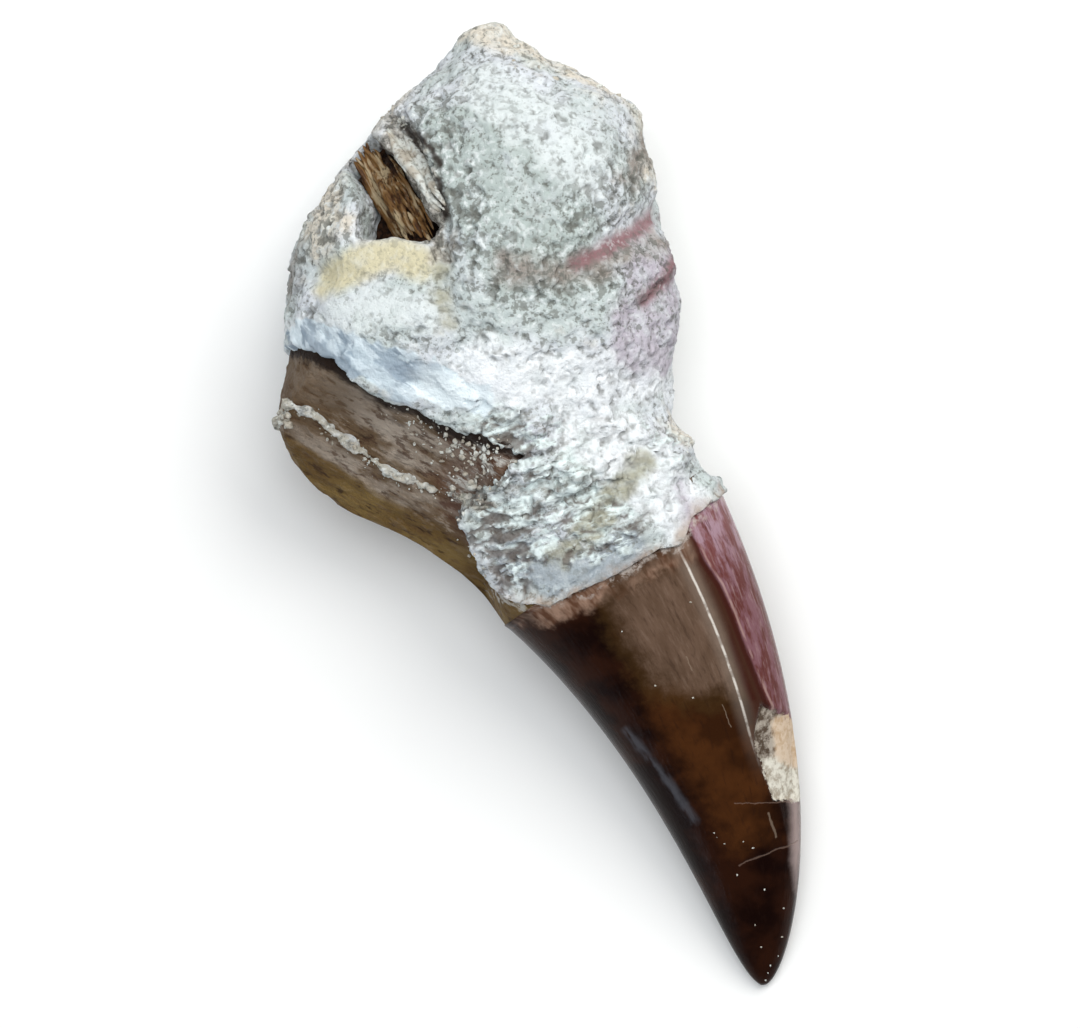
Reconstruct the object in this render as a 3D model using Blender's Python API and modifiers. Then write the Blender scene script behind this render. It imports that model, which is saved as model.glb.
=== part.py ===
"""A fossil mosasaur tooth lying on its side.

Two pieces: the tooth itself (enamel crown and bone root, grown as one) and the crust of sandy
rock still cemented round the root. The frame is in metres with +Z up, and z = 0 is the flat
parting face that the fossil rests on. +Y runs up the root, and the crown points to -Y and
curves towards +X. The sizes below are millimetres, and MM turns them into metres.
"""

import math

import bmesh
import bpy
import numpy as np
from mathutils import Vector, noise

MM = 0.001
FOOTPRINT_CENTRE = (-0.22, 0.0)   # of the whole fossil, which is moved to x = y = 0

# The crown: a bent cone on an arc that starts at the neck and ends at the tip.
CROWN_LENGTH = 42.6
CROWN_BASE = (6.5, -4.1)
CROWN_HALF_WIDTH = 11.5
CROWN_FLATNESS = 0.75          # half thickness over half width
TAPER = (0.91, 0.60)           # exponents of the half width's fall towards the tip
LEAN_AT_NECK = math.radians(35.0)   # of the crown's axis, from -Y towards +X
LEAN_AT_TIP = math.radians(4.0)
NECK_HEIGHT = 11.8             # of the crown's axis above the floor
TIP_HEIGHT = 0.9
DROOP = 1.1                    # above 1, the crown's axis drops faster towards the tip
BLUNT_TIP = 0.998              # share of the axis at which the crown is closed
CARINA_SIDE = 0.52             # the cutting edge's place across the crown, 1 at the right side
CARINA_SIDE_AT_TIP = 0.98
CARINA_TURN = (0.45, 0.95)     # along the crown: between these the edge swings to the side
CARINA_HEIGHT = 0.55
CARINA_WIDTH = 0.10
CARINA_FADE = 0.15

# The root with its crust, from the broken end down to the neck. Each row is one section:
# left side x, y, right side x, y, lowest z, highest z. The last row is the crown's base.
ROOT_END = (-4.9, 43.6, 12.5)
ROOT_SECTIONS = [
    (-7.5, 41.6, -2.6, 42.4, 8.5, 16.8),
    (-10.4, 38.6, 2.3, 38.9, 4.2, 20.8),
    (-14.2, 35.0, 7.9, 36.1, 1.2, 23.8),
    (-17.3, 31.4, 9.8, 31.6, -0.9, 25.6),
    (-20.2, 26.5, 10.8, 26.0, -1.5, 26.6),
    (-22.4, 20.2, 12.2, 20.2, -1.5, 26.8),
    (-22.9, 14.3, 12.1, 14.6, -1.2, 26.0),
    (-23.8, 6.9, 12.2, 11.0, -0.4, 24.8),
    (-19.4, 0.7, 12.2, 7.9, 0.9, 23.2),
    (-12.1, -3.0, 13.1, 5.0, 2.1, 21.8),
    (-6.4, -7.0, 14.6, 3.4, 2.8, 20.9),
]
ROOT_SQUARENESS = 2.25         # exponent of the sections' outline, 2 for an ellipse
ROOT_CROWDING = 1.15           # above 1, the rings crowd towards the root's end
END_SECTIONS = 3.0             # the sections over which the root's end and its neck blend in
NECK_SECTIONS = 3.0
SIDE_BLUR = 0.10               # how the upper side passes into the underside, as a sine
SIDE_TURN = 0.6                # the same for the edge of the bare bone

# The crust: its depth over the buried root, and how far it stands above what is bare.
GAP = 0.3                      # between the tooth and the crust round it
NARROW_GAP = GAP / 3           # left in corners where the full gap folds over itself
CRUST_ON_ROOT = 1.9
CRUST_AT_NECK = 1.15
CRUST_AT_END = 0.8
STEP_AT_EDGE = 0.45
BURIED = 1.1                   # how far its form dives under bare bone before it is cut
COVER_FROM = 0.1               # how far under the crust's edge the bone starts to sink
COVER_WIDTH = 1.4              # and over how much further it does so
LEAST_COVER = 0.8              # share of the crust's depth that stays where its top is broken
RAGGED = 0.45                  # how far its broken edges wander
RAGGED_SIZE = 2.6
RAGGED_AT_NECK = 0.5           # share of that wandering where the enamel starts
RAGGED_AT_MOUTH = 0.5          # and round the mouth of the pit
BLUNT_EDGE = 0.5               # width over which a broken edge drops
LUMPS = [(6.0, 3, 0.55), (1.9, 2, 0.25)]   # of the crust: size, octaves and height
LEAST_CRUST = 0.3              # depth under which the crust has no lumps
LUMPS_ON_CROWN = 0.2           # share of their height

# Where the crust is gone on the upper side: it has flaked off the side of the root, and it
# ends at the neck, where the enamel starts.
BARE_ABOVE = [
    (-30.0, 14.6), (-22.9, 14.3), (-21.6, 14.1), (-18.9, 12.9), (-17.1, 11.8), (-15.3, 10.5),
    (-13.5, 9.4), (-10.8, 8.7), (-9.0, 7.3), (-6.3, 6.2), (-3.6, 5.5), (-1.6, 4.9),
    (-3.6, 2.6), (-5.6, 1.5), (-7.6, -1.0), (-6.3, -3.7), (-5.2, -6.4), (-3.9, -8.0),
    (-1.8, -8.6), (0.7, -8.7), (4.5, -7.1), (7.2, -5.7), (10.4, -3.9), (12.6, -3.4),
    (13.5, -1.0), (16.4, 1.1), (30.0, 5.0), (30.0, -60.0), (-30.0, -60.0),
]
# The same on the underside, where the flaked band runs out sooner.
BARE_BELOW = [
    (-30.0, 14.6), (-22.0, 13.6), (-18.0, 9.6), (-15.2, 4.8), (-11.2, 1.6), (-8.4, -1.8),
    (-6.0, -5.2), (-3.9, -8.0), (-0.4, -8.0), (3.4, -8.4), (7.4, -6.4), (11.2, -3.2),
    (16.4, 1.1), (30.0, 5.0), (30.0, -60.0), (-30.0, -60.0),
]
# A rib of crust left standing across the bare bone.
RIB = [(-24.4, 6.8), (-22.7, 9.4), (-20.4, 8.5), (-18.1, 6.4), (-15.8, 4.8), (-13.8, 3.2),
       (-10.7, 1.9), (-8.0, 1.2), (-4.5, 0.2)]
RIB_HALF_WIDTH = 0.7
RIB_UNEVEN = 0.5
RIB_GRAIN = 1.8
RIB_HEIGHT = 0.55
RIB_LOWEST = -0.2              # how far round the side it runs, as a sine

# Broken faces cut the round form: a point on the plane, the way down, and the slope.
BONE_FACE = ((-13.5, 9.4, 21.4), (-0.46, -0.89), 0.90)
FACE_RIGHT = -3.5              # the face runs out towards this x
FACE_EDGE = 2.0
FACE_UNDER = 1.9               # how far it runs on under the crust
FACE_BLUR = 1.2
BROKEN_CRUST = [
    ((-12.0, 14.0, 25.2), (-0.30, -0.95), 0.42),
    ((-9.4, 28.0, 24.6), (-0.87, 0.50), 0.45),
]
SCOOP = ((-17.5, 8.6), (-9.0, 4.2), 2.2, 0.9)

# The pit in the root's side, where the next tooth would have grown, with its block of fibres.
PIT = [
    (-18.6, 33.6), (-14.6, 35.0), (-11.6, 34.6), (-8.4, 28.0), (-7.2, 22.8), (-8.6, 19.0),
    (-13.5, 17.4), (-18.0, 18.8), (-20.0, 23.0), (-17.8, 28.4),
]
PIT_DEPTH = 7.0
PIT_FLOOR = 14.5               # height that the pit goes no lower than
PIT_WALL = 3.0                 # width over which its buried wall drops
PIT_RIM = 0.3                  # share of the drop at the outline itself
PIT_MOUTH = [
    (-17.2, 33.2), (-14.6, 34.0), (-13.2, 32.6), (-11.0, 29.0), (-9.2, 25.0), (-9.9, 23.5),
    (-12.6, 24.1), (-15.7, 23.6), (-15.4, 26.6), (-16.0, 29.4),
]
FIBRES = [
    (-17.8, 33.4), (-14.7, 34.4), (-13.0, 32.6), (-10.8, 29.0), (-9.0, 24.6), (-9.9, 22.8),
    (-12.6, 23.6), (-14.2, 27.4), (-16.0, 30.2),
]
FIBRES_EDGE = 0.6
FIBRES_DEPTH = 4.2
FIBRES_ALONG = (0.50, -0.87)
FIBRE_SPACING = 1.9
FIBRE_HEIGHT = 1.0
FIBRE_SWAY = 0.6               # radians that a splinter sways, and turns of that a spacing
SWAY_RATE = 1.14
# The layered edge of the crust between the fibres and the bulb of the root.
LAYERS = [(-13.4, 35.4), (-11.6, 34.2), (-10.0, 30.2), (-8.0, 26.4), (-8.0, 21.6), (-9.8, 21.8),
          (-9.8, 25.0), (-11.4, 29.0), (-13.6, 32.6)]
LAYERS_EDGE = 0.7
LAYERS_DEPTH = 1.4
LAYER_SPACING = 1.46
LAYER_HEIGHT = 0.6

# Long shallow grooves in the crust: two ends, half width and depth.
GROOVES = [
    ((11.6, 27.2), (3.0, 21.2), 1.5, 1.1),
    ((14.0, 22.0), (8.6, 17.2), 1.1, 0.7),
    ((9.8, 5.4), (1.2, -4.2), 1.6, 0.6),
    ((13.0, 11.0), (-4.0, 9.4), 2.8, 0.8),
    ((-12.0, 33.0), (-7.6, 22.0), 1.6, 1.0),
    ((-9.0, 21.0), (-7.0, 14.0), 1.8, 0.8),
    ((-19.8, 21.0), (-9.0, 19.6), 1.5, 1.0),
]
# Swellings of the crust: centre, radius and height.
SWELLINGS = [
    ((1.5, 30.5), 9.0, 0.9),
    ((-14.5, 16.0), 4.2, 1.0),
    ((-13.5, 21.6), 2.6, 0.7),
    ((12.0, 18.2), 4.0, 0.3),
    ((11.4, 5.4), 3.4, 0.6),
    ((14.0, 6.3), 1.8, 1.2),
    ((15.4, 1.8), 1.8, -0.9),
    ((-22.0, 23.4), 2.6, 0.8),
    ((-3.0, 9.8), 3.2, 0.4),
]

# Where the crust at the neck comes away in flakes, and the size and step of the flakes.
FLAKY = [(-6.5, 9.5), (6.0, 8.6), (13.4, 6.2), (13.0, 0.5), (4.0, -6.5), (-3.0, -7.0), (-5.6, 0.0)]
FLAKY_EDGE = 2.0
FLAKE_SIZE = np.array([10.0, 4.1, 6.1])
FLAKE_STEP = 0.45
FLAKE_COUNT = 2.6
FLAKE_FRONT = 0.25             # share of a ledge that its front takes

# The chip in the crown's right side, where the enamel is gone.
CHIP = [(20.0, -17.6), (22.4, -18.6), (23.6, -22.0), (23.4, -26.4), (21.2, -26.4), (20.4, -24.2),
        (19.2, -21.0)]
CHIP_EDGE = 0.4
CHIP_DEPTH = 0.45

# How finely the forms are made, and how far they are thinned.
TOOTH_GRID = {"root_count": 130, "crown_count": 70, "crown_end": BLUNT_TIP, "segments": 150}
CRUST_GRID = {"root_count": 130, "crown_count": 18, "crown_end": 0.20, "segments": 140}
TOOTH_TRIANGLES = 3100
CRUST_TRIANGLES = 4060
CRUST_GRAIN = 0.38
FLOOR_BLOCK = 120.0
FAR_OUTSIDE = 5.0              # a distance that no blurred edge reaches
SEED_STEP = Vector((17.3, 5.1, 9.7))   # from one pattern of noise to the next
NOISE_FALL = 0.8               # how much weaker each finer octave is, as an exponent
NOISE_RATIO = 2.0              # and how much finer

ENAMEL_COLOUR = (0.10, 0.04, 0.02)
ENAMEL_ROUGHNESS = 0.25
ROCK_COLOUR = (0.62, 0.60, 0.54)
ROCK_ROUGHNESS = 0.95


def smooth(x):
    """0 below 0, 1 above 1, and a smooth step between."""
    x = np.clip(x, 0.0, 1.0)
    return x * x * (3.0 - 2.0 * x)


def within(distance, width):
    """1 where a signed distance is positive, 0 where it is negative, blurred over this width."""
    return smooth(distance / width + 0.5)


def spline(rows, t):
    """The Catmull-Rom curve through evenly spaced rows of numbers, at t from 0 to their count - 1."""
    rows = np.asarray(rows, float)
    padded = np.vstack([2 * rows[0] - rows[1], rows, 2 * rows[-1] - rows[-2]])
    i = np.clip(np.floor(t).astype(int), 0, len(rows) - 2)
    f = (t - i)[..., None]
    a, b, c, d = (padded[i + k] for k in range(4))
    return 0.5 * (2 * b + (c - a) * f + (2 * a - 5 * b + 4 * c - d) * f**2
                  + (3 * b - a - 3 * c + d) * f**3)


def fractal(points, size, octaves, seed):
    """Fractal noise of about -1 to 1 at each point, with features of this size in millimetres."""
    offset = seed * SEED_STEP
    flat = points.reshape(-1, 3) / size
    values = [noise.fractal(Vector(p) + offset, NOISE_FALL, NOISE_RATIO, octaves) for p in flat]
    return np.array(values).reshape(points.shape[:-1])


def inside(x, y, outline):
    """Signed distance to a closed outline, positive inside it."""
    nearest = np.full(x.shape, np.inf)
    crossings = np.zeros(x.shape, int)
    for (ax, ay), (bx, by) in zip(outline, outline[1:] + outline[:1]):
        nearest = np.minimum(nearest, from_line(x, y, (ax, ay), (bx, by)))
        spans = (ay > y) != (by > y)
        at = ax + (y - ay) * (bx - ax) / (by - ay if by != ay else 1.0)
        crossings += spans & (x < at)
    return np.where(crossings % 2 == 1, nearest, -nearest)


def from_line(x, y, start, end):
    """Distance from each point to the straight line between two points."""
    dx, dy = end[0] - start[0], end[1] - start[1]
    share = np.clip(((x - start[0]) * dx + (y - start[1]) * dy) / (dx * dx + dy * dy), 0, 1)
    return np.hypot(x - start[0] - share * dx, y - start[1] - share * dy)


def from_path(x, y, path):
    """Distance from each point to a bent line."""
    return np.minimum.reduce([from_line(x, y, a, b) for a, b in zip(path, path[1:])])


def above_face(points, face):
    """How far each point stands above a sloping broken face."""
    (px, py, pz), (dx, dy), slope = face
    down = (points[..., 0] - px) * dx + (points[..., 1] - py) * dy
    return points[..., 2] - (pz - slope * down)


def normals(rings):
    """Outward unit normals of a grid of rings."""
    along = np.gradient(rings, axis=0)
    around = np.roll(rings, -1, axis=1) - np.roll(rings, 1, axis=1)
    n = np.cross(around, along)
    return n / np.maximum(np.linalg.norm(n, axis=2, keepdims=True), 1e-9)


def crown_axis(u):
    """Centre x, y, z and lean of the crown's axis, at u from 0 at the neck to 1 at the tip."""
    lean = LEAN_AT_NECK + (LEAN_AT_TIP - LEAN_AT_NECK) * u
    radius = CROWN_LENGTH / (LEAN_AT_NECK - LEAN_AT_TIP)
    x = CROWN_BASE[0] + radius * (np.cos(lean) - math.cos(LEAN_AT_NECK))
    y = CROWN_BASE[1] - radius * (math.sin(LEAN_AT_NECK) - np.sin(lean))
    z = NECK_HEIGHT + (TIP_HEIGHT - NECK_HEIGHT) * u**DROOP
    return x, y, z, lean


def crown_rings(u, angle, grown=0.0):
    """Points of the crown's surface. The angle runs from its right side over the top."""
    x, y, z, lean = crown_axis(u)
    taper = np.maximum(1.0 - u ** TAPER[0], 0.0) ** TAPER[1]
    half_width = CROWN_HALF_WIDTH * taper + grown
    across, up = np.cos(angle), np.sin(angle)
    start, end = CARINA_TURN
    turn = smooth((u - start) / (end - start))
    side = CARINA_SIDE + (CARINA_SIDE_AT_TIP - CARINA_SIDE) * turn
    upper = np.exp(-np.abs(across - side) / CARINA_WIDTH) * smooth(up / CARINA_FADE)
    lower = np.exp(-np.abs(across + side) / CARINA_WIDTH) * smooth(-up / CARINA_FADE)
    height = CARINA_HEIGHT * taper * (upper + lower)
    wide = half_width * across
    deep = (half_width * CROWN_FLATNESS + height) * up
    return np.stack([x + wide * np.cos(lean), y + wide * np.sin(lean), z + deep], axis=-1)


def root_rings(t, angle):
    """Points of the smooth form of the root with its crust, at t from 0 at the end of the root."""
    base = crown_rings(np.zeros(2), np.array([math.pi, 0.0]), STEP_AT_EDGE)
    half_depth = (CROWN_HALF_WIDTH + STEP_AT_EDGE) * CROWN_FLATNESS
    last = (*base[0, :2], *base[1, :2], NECK_HEIGHT - half_depth, NECK_HEIGHT + half_depth)
    rows = spline(ROOT_SECTIONS + [last], np.maximum(t - 1.0, 0.0))
    dome = np.sqrt(1.0 - (1.0 - np.minimum(t, 1.0)) ** 2)
    left, right, low, top = rows[..., 0:2], rows[..., 2:4], rows[..., 4], rows[..., 5]
    centre = np.concatenate([(left + right) / 2, ((low + top) / 2)[..., None]], axis=-1)
    end = np.array(ROOT_END)
    centre = end + (centre - end) * np.minimum(t, 1.0)[..., None]
    power = 2.0 / ROOT_SQUARENESS
    across = np.sign(np.cos(angle)) * np.abs(np.cos(angle)) ** power * dome
    up = np.sign(np.sin(angle)) * np.abs(np.sin(angle)) ** power * dome
    reach = (right - left) / 2
    return centre + np.stack([reach[..., 0] * across, reach[..., 1] * across,
                              (top - low) / 2 * up], axis=-1)


def grid(stations, segments):
    """Station values and angles of a grid, one row per ring."""
    angle = np.linspace(0.0, 2.0 * math.pi, segments, endpoint=False)
    return np.meshgrid(stations, angle, indexing="ij")


class Form:
    """The fossil's smooth form on one grid, with what the two pieces need to know of each point."""

    def __init__(self, root_count, crown_count, crown_end, segments):
        t_end = len(ROOT_SECTIONS) + 1.0
        share = np.linspace(0.0, 1.0, root_count + 1)[1:]
        t, root_angle = grid(t_end * share**ROOT_CROWDING, segments)
        u, crown_angle = grid(crown_end * np.linspace(0.0, 1.0, crown_count + 1)[1:], segments)
        root, crown = root_rings(t, root_angle), crown_rings(u, crown_angle)
        self.points = np.concatenate([root, crown])
        self.normals = normals(self.points)
        self.x, self.y = self.points[..., 0], self.points[..., 1]
        self.on_crown = np.concatenate([np.zeros(t.shape), np.ones(u.shape)])
        self.up = np.sin(np.concatenate([root_angle, crown_angle]))
        self.top = within(self.up, SIDE_BLUR)
        past_end = smooth(t / END_SECTIONS)
        neck = smooth((t - t_end) / NECK_SECTIONS + 1.0)
        self.neck = np.concatenate([neck, np.ones(u.shape)])
        self.steady = np.concatenate([(1.0 - neck) * past_end, np.zeros(u.shape)])
        on_root = CRUST_AT_END + (CRUST_ON_ROOT - CRUST_AT_END) * past_end
        self.crust = np.concatenate([on_root + (CRUST_AT_NECK - on_root) * neck,
                                     np.full(u.shape, CRUST_AT_NECK - STEP_AT_EDGE)])
        bare_above = inside(self.x, self.y, BARE_ABOVE)
        bare_below = inside(self.x, self.y, BARE_BELOW)
        self.bare = bare_below + (bare_above - bare_below) * within(self.up, SIDE_TURN)


def fibre_ridges(x, y, spacing):
    """Long splinters that lie side by side: 0 between two of them, 1 at the crest of each."""
    across = x * -FIBRES_ALONG[1] + y * FIBRES_ALONG[0]
    along = x * FIBRES_ALONG[0] + y * FIBRES_ALONG[1]
    sway = FIBRE_SWAY * np.sin(along * SWAY_RATE / spacing)
    return np.abs(np.sin(math.pi * across / spacing + sway))


def flakes(points):
    """Ledges where thin layers have come away: noise cut into steps with sharp fronts."""
    level = FLAKE_COUNT * fractal(points / FLAKE_SIZE, 1.0, 3, 8)
    step = np.floor(level)
    return step + smooth((level - step) / FLAKE_FRONT)


def crust_skin(form):
    """The crust's outer surface, as if it covered everything."""
    x, y = form.x, form.y
    relief = sum(height * fractal(form.points, size, octaves, 1 + i)
                 for i, (size, octaves, height) in enumerate(LUMPS))
    for start, end, half_width, depth in GROOVES:
        relief -= depth * np.exp(-(from_line(x, y, start, end) / half_width) ** 2) * form.top
    for (cx, cy), radius, height in SWELLINGS:
        relief += height * np.exp(-(np.hypot(x - cx, y - cy) / radius) ** 2) * form.top
    layers = LAYERS_DEPTH + LAYER_HEIGHT * fibre_ridges(x, y, LAYER_SPACING)
    relief -= within(inside(x, y, LAYERS), LAYERS_EDGE) * layers * form.top
    flaky = within(inside(x, y, FLAKY), FLAKY_EDGE) * form.top
    relief += FLAKE_STEP * flakes(form.points) * flaky
    relief *= smooth(form.crust - LEAST_CRUST) * (1.0 - (1.0 - LUMPS_ON_CROWN) * form.on_crown)
    skin = form.points + form.normals * (STEP_AT_EDGE * form.on_crown + relief)[..., None]
    for face in BROKEN_CRUST:
        skin[..., 2] -= np.maximum(above_face(skin, face), 0.0) * form.top * (1.0 - form.on_crown)
    return skin


def tooth_points(form, skin):
    """The tooth: the crown, the bare side of the root, and the root under the crust."""
    covered = smooth((-form.bare - COVER_FROM) / COVER_WIDTH)
    on_root = 1.0 - form.on_crown
    depth = STEP_AT_EDGE * on_root + (form.crust - STEP_AT_EDGE * on_root) * covered
    points = form.points - form.normals * depth[..., None]
    level = np.maximum(skin[..., 2], 0.0) - LEAST_COVER * form.crust * form.normals[..., 2]
    clipped = np.where(form.up > 0.0, np.minimum(points[..., 2], level),
                       np.maximum(points[..., 2], level))
    points[..., 2] += (clipped - points[..., 2]) * form.steady * covered
    start, end, half_width, scoop = SCOOP
    face = np.maximum(above_face(points, BONE_FACE), 0.0)
    face *= smooth((form.bare + FACE_UNDER) / FACE_BLUR)
    face += scoop * np.exp(-(from_line(form.x, form.y, start, end) / half_width) ** 2)
    points[..., 2] -= face * form.top * smooth((FACE_RIGHT - form.x) / FACE_EDGE) * on_root
    pit = smooth(inside(form.x, form.y, PIT) / PIT_WALL + PIT_RIM) * form.top * on_root
    block = within(inside(form.x, form.y, FIBRES), FIBRES_EDGE)
    ridges = FIBRE_HEIGHT * fibre_ridges(form.x, form.y, FIBRE_SPACING)
    floor = points[..., 2] - pit * (PIT_DEPTH - (PIT_DEPTH - FIBRES_DEPTH + ridges) * block)
    points[..., 2] = np.maximum(floor, np.minimum(points[..., 2], PIT_FLOOR))
    chip = within(inside(form.x, form.y, CHIP), CHIP_EDGE) * form.on_crown * form.top
    points -= form.normals * (CHIP_DEPTH * chip)[..., None]
    return points


def crust_points(form, skin, tooth):
    """The crust's outer form. Where it is gone, it dives under the tooth."""
    ragged = RAGGED + (RAGGED_AT_NECK - 1.0) * RAGGED * form.neck
    wander = ragged * fractal(form.points, RAGGED_SIZE, 3, 5)
    mouth = np.where(form.up > 0.0, inside(form.x, form.y, PIT_MOUTH), -FAR_OUTSIDE)
    gone = np.maximum(form.bare + wander, mouth + RAGGED_AT_MOUTH * wander)
    rib = RIB_HALF_WIDTH * (1.0 + RIB_UNEVEN * fractal(form.points, RIB_GRAIN, 2, 6))
    on_side = (form.up > RIB_LOWEST) * (1.0 - form.on_crown)
    rib -= from_path(form.x, form.y, RIB) + FAR_OUTSIDE * (1.0 - on_side)
    standing = within(rib, BLUNT_EDGE)
    level = (GAP + RIB_HEIGHT + BURIED) * standing - BURIED
    under = tooth + form.normals * level[..., None]
    return skin + (under - skin) * within(gone, BLUNT_EDGE)[..., None]


def lofted(name, rings):
    """A closed mesh object over a grid of rings."""
    count, segments = rings.shape[:2]
    ends = [rings[0].mean(axis=0), rings[-1].mean(axis=0)]
    points = (np.vstack([rings.reshape(-1, 3), ends]) - (*FOOTPRINT_CENTRE, 0.0)) * MM
    faces = []
    for i in range(count - 1):
        for j in range(segments):
            k = (j + 1) % segments
            faces.append((i * segments + j, i * segments + k, (i + 1) * segments + k,
                          (i + 1) * segments + j))
    first, last = count * segments, count * segments + 1
    for j in range(segments):
        k = (j + 1) % segments
        faces.append((first, k, j))
        faces.append((last, (count - 1) * segments + j, (count - 1) * segments + k))
    mesh = bpy.data.meshes.new(name)
    mesh.from_pydata(points.tolist(), [], faces)
    return bpy.data.objects.new(name, mesh)


def thin(obj, triangles):
    """Thins obj to about this many triangles, most of them where its surface bends."""
    count = sum(len(polygon.vertices) - 2 for polygon in obj.data.polygons)
    fewer = obj.modifiers.new("Thin", "DECIMATE")
    fewer.ratio = triangles / count
    fewer.use_collapse_triangulate = True


def evaluated_copy(obj, name):
    """A new mesh object of obj with its modifiers applied."""
    graph = bpy.context.evaluated_depsgraph_get()
    graph.update()
    mesh = bpy.data.meshes.new_from_object(obj.evaluated_get(graph))
    copy = bpy.data.objects.new(name, mesh)
    mesh.name = name
    return copy


def bodies_of(bm):
    """The faces of each closed body, smallest body first. Bodies that share one edge are apart."""
    unseen, bodies = set(bm.faces), []
    while unseen:
        stack, body = [unseen.pop()], []
        while stack:
            face = stack.pop()
            body.append(face)
            for edge in face.edges:
                for other in edge.link_faces:
                    if len(edge.link_faces) == 2 and other in unseen:
                        unseen.remove(other)
                        stack.append(other)
        bodies.append(body)
    return sorted(bodies, key=len)


def keep_main_body(mesh):
    """Deletes the crumbs that a cut leaves beside the main body."""
    bm = bmesh.new()
    bm.from_mesh(mesh)
    bmesh.ops.triangulate(bm, faces=bm.faces)
    for crumb in bodies_of(bm)[:-1]:
        bmesh.ops.delete(bm, geom=crumb, context="FACES")
    bm.to_mesh(mesh)
    bm.free()


def room_for(tooth, gap):
    """The tooth grown by the gap. In a tight corner the wide gap folds, and a narrow one holds."""
    room = evaluated_copy(tooth, "room")
    grow = room.modifiers.new("Gap", "DISPLACE")
    grow.strength = gap * MM
    grow.mid_level = 0.0
    return room


def floor_block():
    """A block whose top, at z = 0, cuts the flat parting face that the fossil rests on."""
    bm = bmesh.new()
    bmesh.ops.create_cube(bm, size=FLOOR_BLOCK * MM)
    bmesh.ops.translate(bm, verts=bm.verts, vec=(0.0, 0.0, -FLOOR_BLOCK / 2 * MM))
    mesh = bpy.data.meshes.new("floor")
    bm.to_mesh(mesh)
    bm.free()
    return bpy.data.objects.new("floor", mesh)


def material(name, colour, roughness):
    """A Principled BSDF material of one colour."""
    made = bpy.data.materials.new(name)
    made.use_nodes = True
    shader = made.node_tree.nodes["Principled BSDF"]
    shader.inputs["Base Color"].default_value = (*colour, 1.0)
    shader.inputs["Roughness"].default_value = roughness
    return made


def clear_scene():
    for obj in list(bpy.data.objects):
        bpy.data.objects.remove(obj)


def make_tooth(parts):
    """The tooth, thinned so that its facets stay small where it bends."""
    form = Form(**TOOTH_GRID)
    tooth = lofted("tooth", tooth_points(form, crust_skin(form)))
    thin(tooth, TOOTH_TRIANGLES)
    tooth.data.materials.append(material("enamel_and_bone", ENAMEL_COLOUR, ENAMEL_ROUGHNESS))
    parts.objects.link(tooth)
    return tooth


def make_matrix(tooth, parts, helpers):
    """The crust: its outer form, less the tooth with the gap round it."""
    form = Form(**CRUST_GRID)
    skin = crust_skin(form)
    rough = lofted("crust_form", crust_points(form, skin, tooth_points(form, skin)))
    even = rough.modifiers.new("Even", "REMESH")
    even.mode = "VOXEL"
    even.voxel_size = CRUST_GRAIN * MM
    helpers.objects.link(rough)

    crust = evaluated_copy(rough, "crust")
    helpers.objects.link(crust)
    thin(crust, CRUST_TRIANGLES)
    cutters = [floor_block(), room_for(tooth, GAP), room_for(tooth, NARROW_GAP)]
    for cutter in cutters:
        helpers.objects.link(cutter)
        cut = crust.modifiers.new(cutter.name, "BOOLEAN")
        cut.operation = "DIFFERENCE"
        cut.object = cutter
        cut.solver = "MANIFOLD"   # the exact one leaves nothing where the form folds over itself

    matrix = evaluated_copy(crust, "matrix")
    keep_main_body(matrix.data)
    matrix.data.materials.clear()
    matrix.data.materials.append(material("sandy_rock", ROCK_COLOUR, ROCK_ROUGHNESS))
    parts.objects.link(matrix)
    for helper in (rough, crust, *cutters):
        helper.hide_render = True
        helper.display_type = "WIRE"
    return matrix


def main():
    clear_scene()
    parts = bpy.data.collections.new("mosasaur_tooth")
    helpers = bpy.data.collections.new("cutters")
    bpy.context.scene.collection.children.link(parts)
    bpy.context.scene.collection.children.link(helpers)
    tooth = make_tooth(parts)
    matrix = make_matrix(tooth, parts, helpers)
    for piece in (tooth, matrix):
        piece.data.shade_smooth()


main()
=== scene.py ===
# How the fossil mosasaur tooth looks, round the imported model. Sizes are millimetres, and MM turns
# them into metres. The forms are those of the part's own source, on finer grids: the enamel crown
# and the bone of its root are one piece, the crust of sandy rock is another, and the splinters in
# the pit and the loose crumbs of rock are two more. +Y runs up the root, and the crown points to
# -Y and curves towards +X.

import math
from functools import reduce

import bmesh
import bpy
import numpy as np
from mathutils import Euler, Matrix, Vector, noise
from mathutils.bvhtree import BVHTree


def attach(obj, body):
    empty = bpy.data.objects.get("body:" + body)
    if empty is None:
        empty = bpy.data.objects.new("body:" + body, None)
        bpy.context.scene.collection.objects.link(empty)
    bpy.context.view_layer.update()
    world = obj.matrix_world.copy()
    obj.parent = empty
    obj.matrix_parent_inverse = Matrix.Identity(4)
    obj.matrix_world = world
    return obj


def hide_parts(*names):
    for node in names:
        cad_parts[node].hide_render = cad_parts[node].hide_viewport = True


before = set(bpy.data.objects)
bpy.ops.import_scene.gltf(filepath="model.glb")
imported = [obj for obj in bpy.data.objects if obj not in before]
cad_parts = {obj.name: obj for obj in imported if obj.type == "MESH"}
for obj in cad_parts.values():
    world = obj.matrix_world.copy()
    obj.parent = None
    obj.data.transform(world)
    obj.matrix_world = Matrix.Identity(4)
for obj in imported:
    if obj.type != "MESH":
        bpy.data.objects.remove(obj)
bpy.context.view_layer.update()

MM = 0.001
FOOTPRINT_CENTRE = (-0.22, 0.0)   # of the whole fossil, which is moved to x = y = 0
CENTRE = Vector((*FOOTPRINT_CENTRE, 0.0))

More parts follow.
